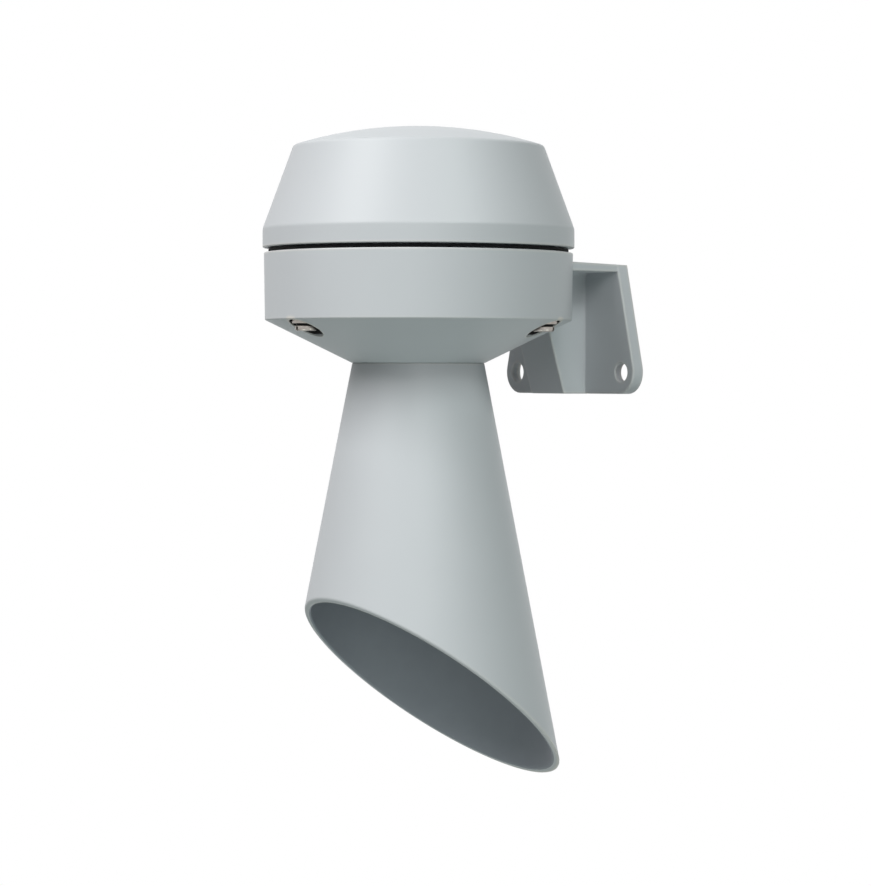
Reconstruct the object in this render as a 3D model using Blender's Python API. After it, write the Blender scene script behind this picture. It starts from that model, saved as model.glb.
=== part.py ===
"""Wall-mounted electronic buzzer horn.

A moulded round housing with its own wall bracket carries a screwed cap above and a
slant-cut sound horn below.  Inside, an electromagnet drives a clamped steel diaphragm
over the horn's throat, under a round circuit board with the supply terminals.

Housing frame: Z is the axis of housing and horn, z = 0 is the lower edge of the
housing's band, the mouth looks along -Y and the wall lies on the +Y side.  The empty
wall_face moves that frame so that the world origin is the middle of the bracket's
top rim, in the plane of the wall.  All sizes are in metres.
"""

import math

import bmesh
import bpy
from mathutils import Matrix, Vector

MM = 0.001

# Gaps that every fitted pair of pieces shares
SEAT_GAP = 0.3 * MM
BORE_GAP = 0.3 * MM

# Facets of a full turn, by the size of the turned piece
LARGE_TURN = 48
MEDIUM_TURN = 32
SMALL_TURN = 20
TINY_TURN = 10
SMOOTH_ANGLE = math.radians(32)
# Small turned solids start this far from +X, so no facet edge meets one of a large solid
SMALL_PHASE = math.radians(5)

# Lower housing: band, underside cone and neck
BAND_RADIUS = 45.0 * MM
BAND_DRAFT = 0.3 * MM
BAND_HEIGHT = 19.6 * MM
HOUSING_WALL = 2.5 * MM
UNDERSIDE_DROP = 12.4 * MM
FLOOR_THICKNESS = 2.9 * MM

# Cap: skirt, cone and shallow dome
SKIRT_OVERHANG = 0.4 * MM
SKIRT_RADIUS = BAND_RADIUS + SKIRT_OVERHANG
SKIRT_HEIGHT = 5.5 * MM
CAP_SEAM = 1.4 * MM
CAP_CONE_INSET = 8.9 * MM
CAP_TOP_RADIUS = SKIRT_RADIUS - CAP_CONE_INSET
CAP_CONE_HEIGHT = 24.2 * MM
DOME_HEIGHT = 6.1 * MM
CAP_WALL = 2.4 * MM
CAP_EDGE_RADIUS = 1.0 * MM
LIP_DEPTH = 4.0 * MM
LIP_THICKNESS = 1.8 * MM
SEAL_WIDTH = 1.7 * MM

# Three cover screws in counterbored pockets of the underside
SCREW_INSET = 5.7 * MM
SCREW_CIRCLE = BAND_RADIUS - SCREW_INSET
SCREW_ANGLES = (-90, 30, 150)
POCKET_RADIUS = 4.8 * MM
POCKET_TOP = 0.6 * MM
PILLAR_WALL = 1.5 * MM
PILLAR_TOP = 9.0 * MM
CAP_BOSS_RADIUS = 4.6 * MM
COVER_SHANK_RADIUS = 1.9 * MM
COVER_SHANK_LENGTH = 24.0 * MM
COVER_HEAD_RADIUS = 3.4 * MM
COVER_HEAD_HEIGHT = 2.3 * MM
COVER_WASHER_RADIUS = 4.0 * MM
COVER_WASHER_THICKNESS = 0.8 * MM
COVER_NECK_HEIGHT = 0.6 * MM
SLOT_WIDTH = 1.0 * MM
SLOT_DEPTH = 1.2 * MM

# Wall bracket, moulded in one with the lower housing
WALL_CLEARANCE = 14.6 * MM
WALL_DISTANCE = BAND_RADIUS + WALL_CLEARANCE
PLATE_DEPTH = 3.9 * MM
PLATE_SKIN = 2.4 * MM
PLATE_RIM = 2.0 * MM
PLATE_TOP_WIDTH = 45.2 * MM
PLATE_FOOT_WIDTH = 63.8 * MM
PLATE_FOOT_Z = -21.4 * MM
PLATE_CORNER_RADIUS = 6.5 * MM
BOLT_HOLE_RADIUS = 2.8 * MM
BOLT_INSET = 6.8 * MM
BOLT_SPACING = PLATE_FOOT_WIDTH - 2 * BOLT_INSET
BOLT_Z = -15.0 * MM
ROOF_DROP = 5.5 * MM
ROOF_UNDERSIDE_Z = BAND_HEIGHT - ROOF_DROP
ROOF_THICKNESS = 2.1 * MM
ROOF_RISE = 0.7 * MM
ARM_WALL = 1.9 * MM
ARM_NOSE_INSET = 3.7 * MM
ARM_NOSE_Y = BAND_RADIUS - ARM_NOSE_INSET
ARM_FOOT_DEPTH = 11.8 * MM
ARM_BACKING = 1.2 * MM

# Cable inlet through the rear of the band, into the hollow arm
INLET_RADIUS = 4.5 * MM
GROMMET_BORE = 3.0 * MM
GROMMET_LIP = 1.2 * MM
GROMMET_LIP_THICKNESS = 1.4 * MM
GROMMET_SIDE_GAP = 0.4 * MM

# Round frame of the sound driver, as large as the screw pillars leave room for
FRAME_CLEARANCE = 1.0 * MM
FRAME_RADIUS = SCREW_CIRCLE - POCKET_RADIUS - PILLAR_WALL - FRAME_CLEARANCE

# Sound horn; its neck and spigot are shares of the frame's radius
HORN_TOP_SHARE = 0.603125
SPIGOT_SHARE = 0.40625
NECK_LEDGE = 0.1 * MM
HORN_TOP_RADIUS = HORN_TOP_SHARE * FRAME_RADIUS
NECK_RADIUS = HORN_TOP_RADIUS + NECK_LEDGE
HORN_TAPER = math.radians(10.92)
HORN_AXIS_LENGTH = 91.4 * MM
MOUTH_TILT = math.radians(35.7)
HORN_WALL = 2.0 * MM
MOUTH_ROUNDING = 0.7 * MM
SPIGOT_RADIUS = SPIGOT_SHARE * FRAME_RADIUS
SPIGOT_WALL = 2.2 * MM
SPIGOT_OVER_NUT = 0.6 * MM
RING_NUT_HEIGHT = 4.4 * MM
RING_NUT_WIDTH = 4.6 * MM
RING_NUT_NOTCHES = 6
NOTCH_WIDTH = 4.0 * MM
NOTCH_DEPTH = 1.6 * MM

# Sound driver: diaphragm clamped between gaskets on the housing's seat ring
SEAT_TOP_Z = 0.5 * MM
DIAPHRAGM_SHARE = 0.78125
DIAPHRAGM_RADIUS = DIAPHRAGM_SHARE * FRAME_RADIUS
DIAPHRAGM_THICKNESS = 0.4 * MM
CLAMP_WIDTH = 3.2 * MM
GASKET_THICKNESS = 1.0 * MM
FRAME_THICKNESS = 3.5 * MM
FRAME_SCREW_INSET = 3.5 * MM
FRAME_SCREW_CIRCLE = FRAME_RADIUS - FRAME_SCREW_INSET
FRAME_SCREW_ANGLES = (45, 135, 225, 315)
FRAME_BOSS_RADIUS = 3.3 * MM
FRAME_VENTS = 6
FRAME_VENT_RADIUS = 2.6 * MM
FRAME_VENT_SHARE = 0.453125
FRAME_VENT_CIRCLE = FRAME_VENT_SHARE * FRAME_RADIUS
FRAME_VENT_FIRST_ANGLE = 30
M3_SHANK_RADIUS = 1.3 * MM
M3_HEAD_RADIUS = 2.6 * MM
M3_HEAD_HEIGHT = 2.0 * MM
FRAME_SCREW_LENGTH = 11.0 * MM
YOKE_SCREW_LENGTH = 5.0 * MM
BOARD_SCREW_LENGTH = 6.0 * MM

# Moving armature on the diaphragm, and its travel
ARMATURE_SHARE = 0.21875
ARMATURE_RADIUS = ARMATURE_SHARE * FRAME_RADIUS
ARMATURE_HEIGHT = 4.5 * MM
ARMATURE_SCREW_RADIUS = 1.5 * MM
ARMATURE_SCREW_REACH = 4.0 * MM
ARMATURE_HEAD_RADIUS = 4.0 * MM
ARMATURE_HEAD_HEIGHT = 1.5 * MM
ARMATURE_OPENING_GAP = 1.2 * MM
AIR_GAP = 0.8 * MM

# Electromagnet: core, bobbin, winding and yoke
CORE_SHARE = 0.1875
CORE_RADIUS = CORE_SHARE * FRAME_RADIUS
CORE_STEM_RADIUS = 3.0 * MM
CORE_STEM_OVER_NUT = 1.2 * MM
BOBBIN_HEIGHT = 15.8 * MM
BOBBIN_SHARE = 0.46875
BOBBIN_RADIUS = BOBBIN_SHARE * FRAME_RADIUS
BOBBIN_WALL = 1.3 * MM
BOBBIN_FLANGE = 1.4 * MM
WINDING_INSET = 1.0 * MM
WINDING_RADIUS = BOBBIN_RADIUS - WINDING_INSET
YOKE_THICKNESS = 3.0 * MM
YOKE_WIDTH_SHARE = 0.5
YOKE_WIDTH = YOKE_WIDTH_SHARE * FRAME_RADIUS
YOKE_FOOT = 7.0 * MM
YOKE_SIDE_GAP = 0.4 * MM
CORE_NUT_FLATS = 10.0 * MM
CORE_NUT_HEIGHT = 4.5 * MM
COIL_PIN_RADIUS = 0.5 * MM
COIL_PIN_INSET = 3.0 * MM
COIL_PIN_CIRCLE = BOBBIN_RADIUS - COIL_PIN_INSET

# Circuit board on three hexagonal pillars
BOARD_INSET = 2.0 * MM
BOARD_RADIUS = FRAME_RADIUS - BOARD_INSET
BOARD_FLAT_SHARE = 0.8
BOARD_FLAT_Y = BOARD_FLAT_SHARE * BOARD_RADIUS
BOARD_THICKNESS = 1.6 * MM
BOARD_OVER_CORE = 2.2 * MM
PILLAR_FLATS = 5.5 * MM
PILLAR_STUD_LENGTH = 2.8 * MM
BOARD_PILLAR_INSET = 4.0 * MM
BOARD_PILLAR_CIRCLE = BOARD_RADIUS - BOARD_PILLAR_INSET
BOARD_PILLAR_ANGLES = (30, 150, 270)

# Parts soldered on the board
TERMINAL_POLES = 3
TERMINAL_PITCH = 5.0 * MM
TERMINAL_DEPTH = 9.0 * MM
TERMINAL_HEIGHT = 9.5 * MM
TERMINAL_INSET = 7.0 * MM
TERMINAL_Y = BOARD_FLAT_Y - TERMINAL_INSET
TERMINAL_PORT = 3.2 * MM
TERMINAL_PORT_DEPTH = 5.0 * MM
TERMINAL_SCREW_RADIUS = 1.5 * MM
TERMINAL_SCREW_SINK = 3.0 * MM
TERMINAL_SHOULDER = 2.5 * MM
CAPACITOR_RADIUS = 5.0 * MM
CAPACITOR_HEIGHT = 9.5 * MM
CAPACITOR_PLACE = (-13.0 * MM, -6.0 * MM)
TRANSISTOR_SIZE = (10.0 * MM, 4.5 * MM, 9.0 * MM)
TRANSISTOR_TAB = 1.3 * MM
TRANSISTOR_TAB_HEIGHT = 1.6 * MM
TRANSISTOR_PLACE = (12.0 * MM, -4.0 * MM)
RECTIFIER_SIZE = (12.0 * MM, 4.0 * MM, 8.0 * MM)
RECTIFIER_CHAMFER = 2.5 * MM
RECTIFIER_OFF_SCREW = 11.0 * MM
RECTIFIER_PLACE = (0.0, RECTIFIER_OFF_SCREW - BOARD_PILLAR_CIRCLE)

# Levels worked out from the sizes above, bottom to top
NECK_Z = -UNDERSIDE_DROP
FLOOR_Z = NECK_Z + FLOOR_THICKNESS
BAND_FOOT_RADIUS = BAND_RADIUS - BAND_DRAFT
UNDERSIDE_SLOPE = UNDERSIDE_DROP / (BAND_FOOT_RADIUS - NECK_RADIUS)
INNER_RADIUS = BAND_RADIUS - HOUSING_WALL
SKIRT_Z = BAND_HEIGHT + CAP_SEAM
CONE_Z = SKIRT_Z + SKIRT_HEIGHT
CAP_RIM_Z = CONE_Z + CAP_CONE_HEIGHT
RING_NUT_Z = FLOOR_Z + SEAT_GAP
SPIGOT_TOP_Z = RING_NUT_Z + RING_NUT_HEIGHT + SPIGOT_OVER_NUT
LOWER_GASKET_Z = SEAT_TOP_Z + SEAT_GAP
DIAPHRAGM_Z = LOWER_GASKET_Z + GASKET_THICKNESS + SEAT_GAP
UPPER_GASKET_Z = DIAPHRAGM_Z + DIAPHRAGM_THICKNESS + SEAT_GAP
FRAME_Z = UPPER_GASKET_Z + GASKET_THICKNESS + SEAT_GAP
FRAME_TOP_Z = FRAME_Z + FRAME_THICKNESS
ON_FRAME_Z = FRAME_TOP_Z + SEAT_GAP
ARMATURE_Z = DIAPHRAGM_Z + DIAPHRAGM_THICKNESS + SEAT_GAP
CORE_Z = ARMATURE_Z + ARMATURE_HEIGHT + AIR_GAP
BOBBIN_TOP_Z = ON_FRAME_Z + BOBBIN_HEIGHT
YOKE_TOP_Z = BOBBIN_TOP_Z + SEAT_GAP + YOKE_THICKNESS
CORE_NUT_Z = YOKE_TOP_Z + SEAT_GAP
CORE_TOP_Z = CORE_NUT_Z + CORE_NUT_HEIGHT + CORE_STEM_OVER_NUT
BOARD_Z = CORE_TOP_Z + BOARD_OVER_CORE
BOARD_TOP_Z = BOARD_Z + BOARD_THICKNESS
ON_BOARD_Z = BOARD_TOP_Z + SEAT_GAP
PLATE_TOP_Z = ROOF_UNDERSIDE_Z + ROOF_THICKNESS
PLATE_FRONT_Y = WALL_DISTANCE - PLATE_DEPTH
RIM_MIDDLE_Z = ROOF_UNDERSIDE_Z + ROOF_THICKNESS / 2
GROMMET_RADIUS = INLET_RADIUS + GROMMET_LIP
INNER_HALF_ARM = GROMMET_RADIUS + GROMMET_SIDE_GAP
OUTER_HALF_ARM = INNER_HALF_ARM + ARM_WALL
ARM_FRONT_Y = BAND_RADIUS + ARM_BACKING
YOKE_INNER_X = BOBBIN_RADIUS + YOKE_SIDE_GAP
YOKE_OUTER_X = YOKE_INNER_X + YOKE_THICKNESS
YOKE_SCREW_X = YOKE_OUTER_X + YOKE_FOOT / 2
BEYOND = 20.0 * MM


def polar(radius, degrees, z=0.0):
    """Point at a radius and an angle about Z; 0 degrees is +X."""
    angle = math.radians(degrees)
    return Vector((radius * math.cos(angle), radius * math.sin(angle), z))


def rounded(corners, radii, steps=3):
    """Closed outline in which each corner is a tangent arc of its own radius."""
    outline = []
    for i, radius in enumerate(radii):
        corner = Vector(corners[i])
        if radius == 0:
            outline.append(corner)
            continue
        back = (Vector(corners[i - 1]) - corner).normalized()
        ahead = (Vector(corners[(i + 1) % len(corners)]) - corner).normalized()
        half = back.angle(ahead) / 2
        centre = corner + (back + ahead).normalized() * radius / math.sin(half)
        first = corner + back * radius / math.tan(half) - centre
        last = corner + ahead * radius / math.tan(half) - centre
        for step in range(steps + 1):
            spoke = first.lerp(last, step / steps).normalized() * radius
            outline.append(centre + spoke)
    return outline


def is_flat_pole(vert):
    """Whether a vertex on the axis is the hub of a flat fan, which is better as one face."""
    on_axis = math.hypot(vert.co.x, vert.co.y) < 1e-7
    return on_axis and all(abs(edge.other_vert(vert).co.z - vert.co.z) < 1e-9 for edge in vert.link_edges)


def spin(bm, profile, segments, at=(0, 0, 0), closed=True):
    """Turn an (r, z) outline about Z; one that ends on the axis or isn't closed stays a chain."""
    phase = 0 if segments == LARGE_TURN else SMALL_PHASE
    before = set(bm.verts)
    verts = [bm.verts.new((r * math.cos(phase), r * math.sin(phase), z)) for r, z in profile]
    edges = [bm.edges.new(pair) for pair in zip(verts, verts[1:])]
    if closed and profile[0][0] > 0:
        edges.append(bm.edges.new((verts[-1], verts[0])))
    bmesh.ops.spin(bm, geom=verts + edges, cent=(0, 0, 0), axis=(0, 0, 1),
                   angle=math.tau, steps=segments, use_merge=True)
    bmesh.ops.remove_doubles(bm, verts=[v for v in bm.verts if v not in before], dist=1e-6)
    made = [v for v in bm.verts if v not in before]
    bmesh.ops.dissolve_verts(bm, verts=[v for v in made if is_flat_pole(v)])
    made = [v for v in bm.verts if v not in before]
    bmesh.ops.translate(bm, verts=made, vec=at)


def turned(profile, segments=SMALL_TURN, places=((0, 0, 0),)):
    """One turned solid, or the same one at several places."""
    bm = bmesh.new()
    for at in places:
        spin(bm, profile, segments, at)
    return bm


def rod(radius, low, high, segments=SMALL_TURN, places=((0, 0, 0),)):
    """Plain upright cylinder."""
    return turned([(0, low), (radius, low), (radius, high), (0, high)], segments, places)


def ring(inner, outer, low, high, segments=SMALL_TURN):
    """Plain upright tube."""
    return turned([(inner, low), (outer, low), (outer, high), (inner, high)], segments)


def prism(outline, low, high, axis="Z"):
    """Outline extruded along an axis; its points are (x, y), (x, z) or (y, z)."""
    to_space = {
        "Z": lambda u, v: (u, v, low),
        "Y": lambda u, v: (u, low, v),
        "X": lambda u, v: (low, u, v),
    }[axis]
    bm = bmesh.new()
    face = bm.faces.new([bm.verts.new(to_space(u, v)) for u, v in outline])
    along = Vector((axis == "X", axis == "Y", axis == "Z")) * (high - low)
    made = bmesh.ops.extrude_face_region(bm, geom=[face])["geom"]
    bmesh.ops.translate(bm, verts=[v for v in made if isinstance(v, bmesh.types.BMVert)], vec=along)
    return bm


def box(centre_x, centre_y, low_z, size):
    """Upright block standing on low_z."""
    x, y = size[0] / 2, size[1] / 2
    outline = [(centre_x - x, centre_y - y), (centre_x + x, centre_y - y),
               (centre_x + x, centre_y + y), (centre_x - x, centre_y + y)]
    return prism(outline, low_z, low_z + size[2])


def lying(bm):
    """Turn an upright solid so that its Z axis points along +Y."""
    bmesh.ops.rotate(bm, verts=bm.verts, matrix=Matrix.Rotation(-math.pi / 2, 3, "X"))
    return bm


def hexagon(flats):
    """Outline of a hexagon, by its width across flats."""
    return [polar(flats / math.sqrt(3), 60 * i)[:2] for i in range(6)]


def paint(name, colour, roughness, metallic=0.0):
    """Principled material of one piece."""
    mat = bpy.data.materials.new(name)
    mat.use_nodes = True
    shader = mat.node_tree.nodes["Principled BSDF"]
    shader.inputs["Base Color"].default_value = (*colour, 1)
    shader.inputs["Roughness"].default_value = roughness
    shader.inputs["Metallic"].default_value = metallic
    return mat


def piece(name, bm, look=None, at=(0, 0, 0)):
    """Object under the wall_face empty; one without a look is a helper for a Boolean."""
    bmesh.ops.recalc_face_normals(bm, faces=bm.faces)
    mesh = bpy.data.meshes.new(name)
    bm.to_mesh(mesh)
    bm.free()
    mesh.shade_smooth()
    mesh.set_sharp_from_angle(angle=SMOOTH_ANGLE)
    obj = bpy.data.objects.new(name, mesh)
    bpy.context.collection.objects.link(obj)
    obj.parent = bpy.data.objects["wall_face"]
    obj.location = at
    if look is None:
        obj.hide_render = True
        obj.display_type = "WIRE"
    else:
        mesh.materials.append(paint(name, *look))
    return obj


def boolean(target, tool, operation):
    """Exact Boolean of two solids, kept as a modifier."""
    step = target.modifiers.new(tool.name, "BOOLEAN")
    step.operation = operation
    step.object = tool
    return target


def cut(target, *tools):
    """Take each tool's solid out of the target."""
    for tool in tools:
        boolean(target, tool, "DIFFERENCE")
    return target


def join(target, *tools):
    """Add each tool's solid to the target."""
    for tool in tools:
        boolean(target, tool, "UNION")
    return target


GREY_PLASTIC = ((0.56, 0.60, 0.61), 0.42)
BLACK_RUBBER = ((0.02, 0.02, 0.022), 0.8)
DARK_PLASTIC = ((0.05, 0.05, 0.055), 0.5)
NATURAL_NYLON = ((0.72, 0.70, 0.62), 0.5)
PLATED_STEEL = ((0.62, 0.62, 0.60), 0.3, 1.0)
SPRING_STEEL = ((0.45, 0.46, 0.48), 0.25, 1.0)
SOFT_IRON = ((0.36, 0.36, 0.37), 0.5, 1.0)
CAST_ALUMINIUM = ((0.50, 0.51, 0.53), 0.55, 1.0)
BRASS = ((0.72, 0.53, 0.24), 0.35, 1.0)
COPPER_ENAMEL = ((0.50, 0.19, 0.07), 0.4, 0.6)
BOARD_GREEN = ((0.04, 0.20, 0.09), 0.45)
TERMINAL_GREEN = ((0.10, 0.32, 0.16), 0.5)
SLEEVE_BLUE = ((0.05, 0.07, 0.20), 0.4)


def underside_z(radius):
    """Height of the underside cone's outer face at a radius."""
    return -UNDERSIDE_SLOPE * (BAND_FOOT_RADIUS - radius)


def underside_inner_z(radius):
    """Height of the underside cone's inner face, one wall above the outer one."""
    return underside_z(radius) + HOUSING_WALL * math.hypot(1, UNDERSIDE_SLOPE)


def inlet_z():
    """Height of the cable inlet: the grommet's lip just clears the housing's inner corner."""
    return underside_inner_z(INNER_RADIUS) + GROMMET_RADIUS + SEAT_GAP


def housing_shell():
    """Turned shell of band, underside cone, neck floor and the driver's seat ring."""
    floor_rise = FLOOR_THICKNESS - HOUSING_WALL * math.hypot(1, UNDERSIDE_SLOPE)
    floor_edge = NECK_RADIUS + floor_rise / UNDERSIDE_SLOPE
    seat_inner = DIAPHRAGM_RADIUS - CLAMP_WIDTH
    profile = [
        (SPIGOT_RADIUS + BORE_GAP, NECK_Z),
        (NECK_RADIUS, NECK_Z),
        (BAND_FOOT_RADIUS, 0),
        (BAND_RADIUS, BAND_HEIGHT),
        (INNER_RADIUS, BAND_HEIGHT),
        (INNER_RADIUS, underside_inner_z(INNER_RADIUS)),
        (DIAPHRAGM_RADIUS, underside_inner_z(DIAPHRAGM_RADIUS)),
        (DIAPHRAGM_RADIUS, SEAT_TOP_Z),
        (seat_inner, SEAT_TOP_Z),
        (seat_inner, underside_inner_z(seat_inner)),
        (floor_edge, FLOOR_Z),
        (SPIGOT_RADIUS + BORE_GAP, FLOOR_Z),
    ]
    return piece("lower_housing", turned(profile, LARGE_TURN), GREY_PLASTIC)


def housing_core():
    """Solid up to the middle of the shell's wall, where added shapes are trimmed."""
    half = HOUSING_WALL / 2
    profile = [
        (0, NECK_Z + FLOOR_THICKNESS / 2),
        (NECK_RADIUS, NECK_Z + FLOOR_THICKNESS / 2),
        (BAND_FOOT_RADIUS - half, underside_z(BAND_FOOT_RADIUS - half) + half),
        (BAND_RADIUS - half, BAND_HEIGHT + BEYOND),
        (0, BAND_HEIGHT + BEYOND),
    ]
    return piece("trim_housing_core", turned(profile, LARGE_TURN))


def bracket_roof(core):
    """Flat web from the band to the top of the wall plate, slightly higher at the band."""
    half = PLATE_TOP_WIDTH / 2
    start_y = math.sqrt(INNER_RADIUS ** 2 - half ** 2) - HOUSING_WALL
    outline = [
        (start_y, ROOF_UNDERSIDE_Z),
        (WALL_DISTANCE, ROOF_UNDERSIDE_Z),
        (WALL_DISTANCE, PLATE_TOP_Z),
        (start_y, PLATE_TOP_Z + ROOF_RISE),
    ]
    return cut(piece("add_roof", prism(outline, -half, half, "X")), core)


def bracket_arm():
    """Box arm under the roof, with the slanted nose that runs out of the underside cone."""
    inside_band = BAND_RADIUS - HOUSING_WALL * 0.7
    foot_y = WALL_DISTANCE - ARM_FOOT_DEPTH
    outline = [
        (inside_band, ROOF_UNDERSIDE_Z + ROOF_THICKNESS / 2),
        (inside_band, underside_z(inside_band) + HOUSING_WALL / 2),
        (ARM_NOSE_Y, underside_z(ARM_NOSE_Y) + HOUSING_WALL / 2),
        (foot_y, PLATE_FOOT_Z),
        (WALL_DISTANCE, PLATE_FOOT_Z),
        (WALL_DISTANCE, ROOF_UNDERSIDE_Z + ROOF_THICKNESS / 2),
    ]
    return piece("add_arm", prism(outline, -OUTER_HALF_ARM, OUTER_HALF_ARM, "X"))


def bracket_plate():
    """Trapezoid wall plate with rounded lower corners."""
    top, foot = PLATE_TOP_WIDTH / 2, PLATE_FOOT_WIDTH / 2
    corners = [(-top, PLATE_TOP_Z), (-foot, PLATE_FOOT_Z), (foot, PLATE_FOOT_Z), (top, PLATE_TOP_Z)]
    outline = rounded(corners, (0, PLATE_CORNER_RADIUS, PLATE_CORNER_RADIUS, 0), steps=6)
    return piece("add_plate", prism(outline, PLATE_FRONT_Y, WALL_DISTANCE, "Y"))


def plate_recess():
    """Shallow hollow in the plate's back, which leaves a rim all round against the wall."""
    lean = (PLATE_FOOT_WIDTH - PLATE_TOP_WIDTH) / 2 / (PLATE_TOP_Z - PLATE_FOOT_Z)
    side_inset = PLATE_RIM * math.hypot(1, lean)
    floor_z = PLATE_FOOT_Z + PLATE_RIM
    top = PLATE_TOP_WIDTH / 2 + lean * (PLATE_TOP_Z - ROOF_UNDERSIDE_Z) - side_inset
    foot = PLATE_FOOT_WIDTH / 2 - lean * PLATE_RIM - side_inset
    corners = [(-top, ROOF_UNDERSIDE_Z), (-foot, floor_z), (foot, floor_z), (top, ROOF_UNDERSIDE_Z)]
    corner = PLATE_CORNER_RADIUS - PLATE_RIM
    outline = rounded(corners, (0, corner, corner, 0), steps=6)
    return piece("cut_plate_recess",
                 prism(outline, PLATE_FRONT_Y + PLATE_SKIN, WALL_DISTANCE + BEYOND, "Y"))


def arm_hollow():
    """Cable space in the arm, open towards the wall and walled by the band's rear."""
    foot_y = WALL_DISTANCE - ARM_FOOT_DEPTH
    lean = (foot_y - ARM_NOSE_Y) / (underside_z(ARM_NOSE_Y) + HOUSING_WALL / 2 - PLATE_FOOT_Z)
    nose_wall = ARM_WALL * math.hypot(1, lean)
    floor_z = PLATE_FOOT_Z + ARM_WALL
    floor_y = foot_y - lean * ARM_WALL + nose_wall
    meet_z = floor_z + (floor_y - ARM_FRONT_Y) / lean
    outline = [
        (ARM_FRONT_Y, ROOF_UNDERSIDE_Z),
        (ARM_FRONT_Y, meet_z),
        (floor_y, floor_z),
        (WALL_DISTANCE + BEYOND, floor_z),
        (WALL_DISTANCE + BEYOND, ROOF_UNDERSIDE_Z),
    ]
    return piece("cut_arm_hollow", prism(outline, -INNER_HALF_ARM, INNER_HALF_ARM, "X"))


def screw_places():
    """Axes of the three cover screws."""
    return [polar(SCREW_CIRCLE, angle) for angle in SCREW_ANGLES]


def frame_screw_places():
    """Axes of the four screws that hold the driver's frame."""
    return [polar(FRAME_SCREW_CIRCLE, angle) for angle in FRAME_SCREW_ANGLES]


def screw_pillars(core):
    """Pillars inside the housing that carry the cover screws."""
    radius = POCKET_RADIUS + PILLAR_WALL
    solid = piece("add_screw_pillars", rod(radius, NECK_Z, PILLAR_TOP, SMALL_TURN, screw_places()))
    return boolean(solid, core, "INTERSECT")


def screw_pockets():
    """Counterbore from below and the clearance hole above it, one for each cover screw."""
    low = NECK_Z - BEYOND
    shank = COVER_SHANK_RADIUS + BORE_GAP
    profile = [(0, low), (POCKET_RADIUS, low), (POCKET_RADIUS, POCKET_TOP),
               (shank, POCKET_TOP), (shank, PILLAR_TOP + BEYOND), (0, PILLAR_TOP + BEYOND)]
    return piece("cut_screw_pockets", turned(profile, SMALL_TURN, screw_places()))


def frame_bosses(core):
    """Bosses beside the seat ring for the screws of the driver's frame."""
    solid = piece("add_frame_bosses",
                  rod(FRAME_BOSS_RADIUS, NECK_Z, SEAT_TOP_Z, SMALL_TURN, frame_screw_places()))
    return boolean(solid, core, "INTERSECT")


def frame_boss_holes():
    """Blind holes in those bosses."""
    low = ON_FRAME_Z - FRAME_SCREW_LENGTH - SEAT_GAP
    return piece("cut_frame_boss_holes",
                 rod(M3_SHANK_RADIUS + BORE_GAP, low, SEAT_TOP_Z + BEYOND, TINY_TURN, frame_screw_places()))


def bolt_holes():
    """Two holes for the wall screws."""
    places = [(side * BOLT_SPACING / 2, 0, BOLT_Z) for side in (-1, 1)]
    bm = lying(rod(BOLT_HOLE_RADIUS, 0, WALL_DISTANCE + BEYOND))
    tool = bmesh.new()
    mesh = bpy.data.meshes.new("bolt_hole")
    bm.to_mesh(mesh)
    bm.free()
    for at in places:
        start = len(tool.verts)
        tool.from_mesh(mesh)
        tool.verts.ensure_lookup_table()
        bmesh.ops.translate(tool, verts=tool.verts[start:], vec=at)
    return piece("cut_bolt_holes", tool)


def cable_inlet():
    """Round hole through the rear of the band into the arm."""
    bm = lying(rod(INLET_RADIUS, INNER_RADIUS - HOUSING_WALL, ARM_FRONT_Y + HOUSING_WALL))
    return piece("cut_cable_inlet", bm, at=(0, 0, inlet_z()))


def lower_housing():
    """Moulded housing with its bracket, screw pillars, pockets and cable space."""
    shell = housing_shell()
    core = housing_core()
    join(shell, bracket_arm(), bracket_plate(), bracket_roof(core))
    join(shell, screw_pillars(core), frame_bosses(core))
    cut(shell, arm_hollow(), plate_recess(), bolt_holes(), cable_inlet())
    cut(shell, screw_pockets(), frame_boss_holes())


def cap_outline(inset):
    """Cap's outer face, or the same face moved inwards, from skirt edge to apex."""
    cone_lean = (SKIRT_RADIUS - CAP_TOP_RADIUS) / CAP_CONE_HEIGHT
    sphere = (CAP_TOP_RADIUS ** 2 + DOME_HEIGHT ** 2) / (2 * DOME_HEIGHT)
    centre_z = CAP_RIM_Z + DOME_HEIGHT - sphere
    cone_inset = inset * math.hypot(1, cone_lean)
    rim_r = CAP_TOP_RADIUS - inset
    points = [(SKIRT_RADIUS - inset, CONE_Z)]
    rim_z = CAP_RIM_Z - (cone_inset - inset) / cone_lean
    points.append((rim_r, rim_z))
    rings = 6
    start = math.asin(rim_r / (sphere - inset))
    for step in range(1, rings + 1):
        angle = start * (1 - step / rings)
        points.append(((sphere - inset) * math.sin(angle), centre_z + (sphere - inset) * math.cos(angle)))
    return points


def cap_core():
    """Solid up to the middle of the cap's wall, which trims the screw bosses."""
    lip = INNER_RADIUS - BORE_GAP - LIP_THICKNESS / 2
    profile = [(0, 0), (lip, 0), (lip, SKIRT_Z + CAP_WALL / 2),
               (SKIRT_RADIUS - CAP_WALL / 2, SKIRT_Z + CAP_WALL / 2)] + cap_outline(CAP_WALL / 2)
    return piece("trim_cap_core", turned(profile, LARGE_TURN))


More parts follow.
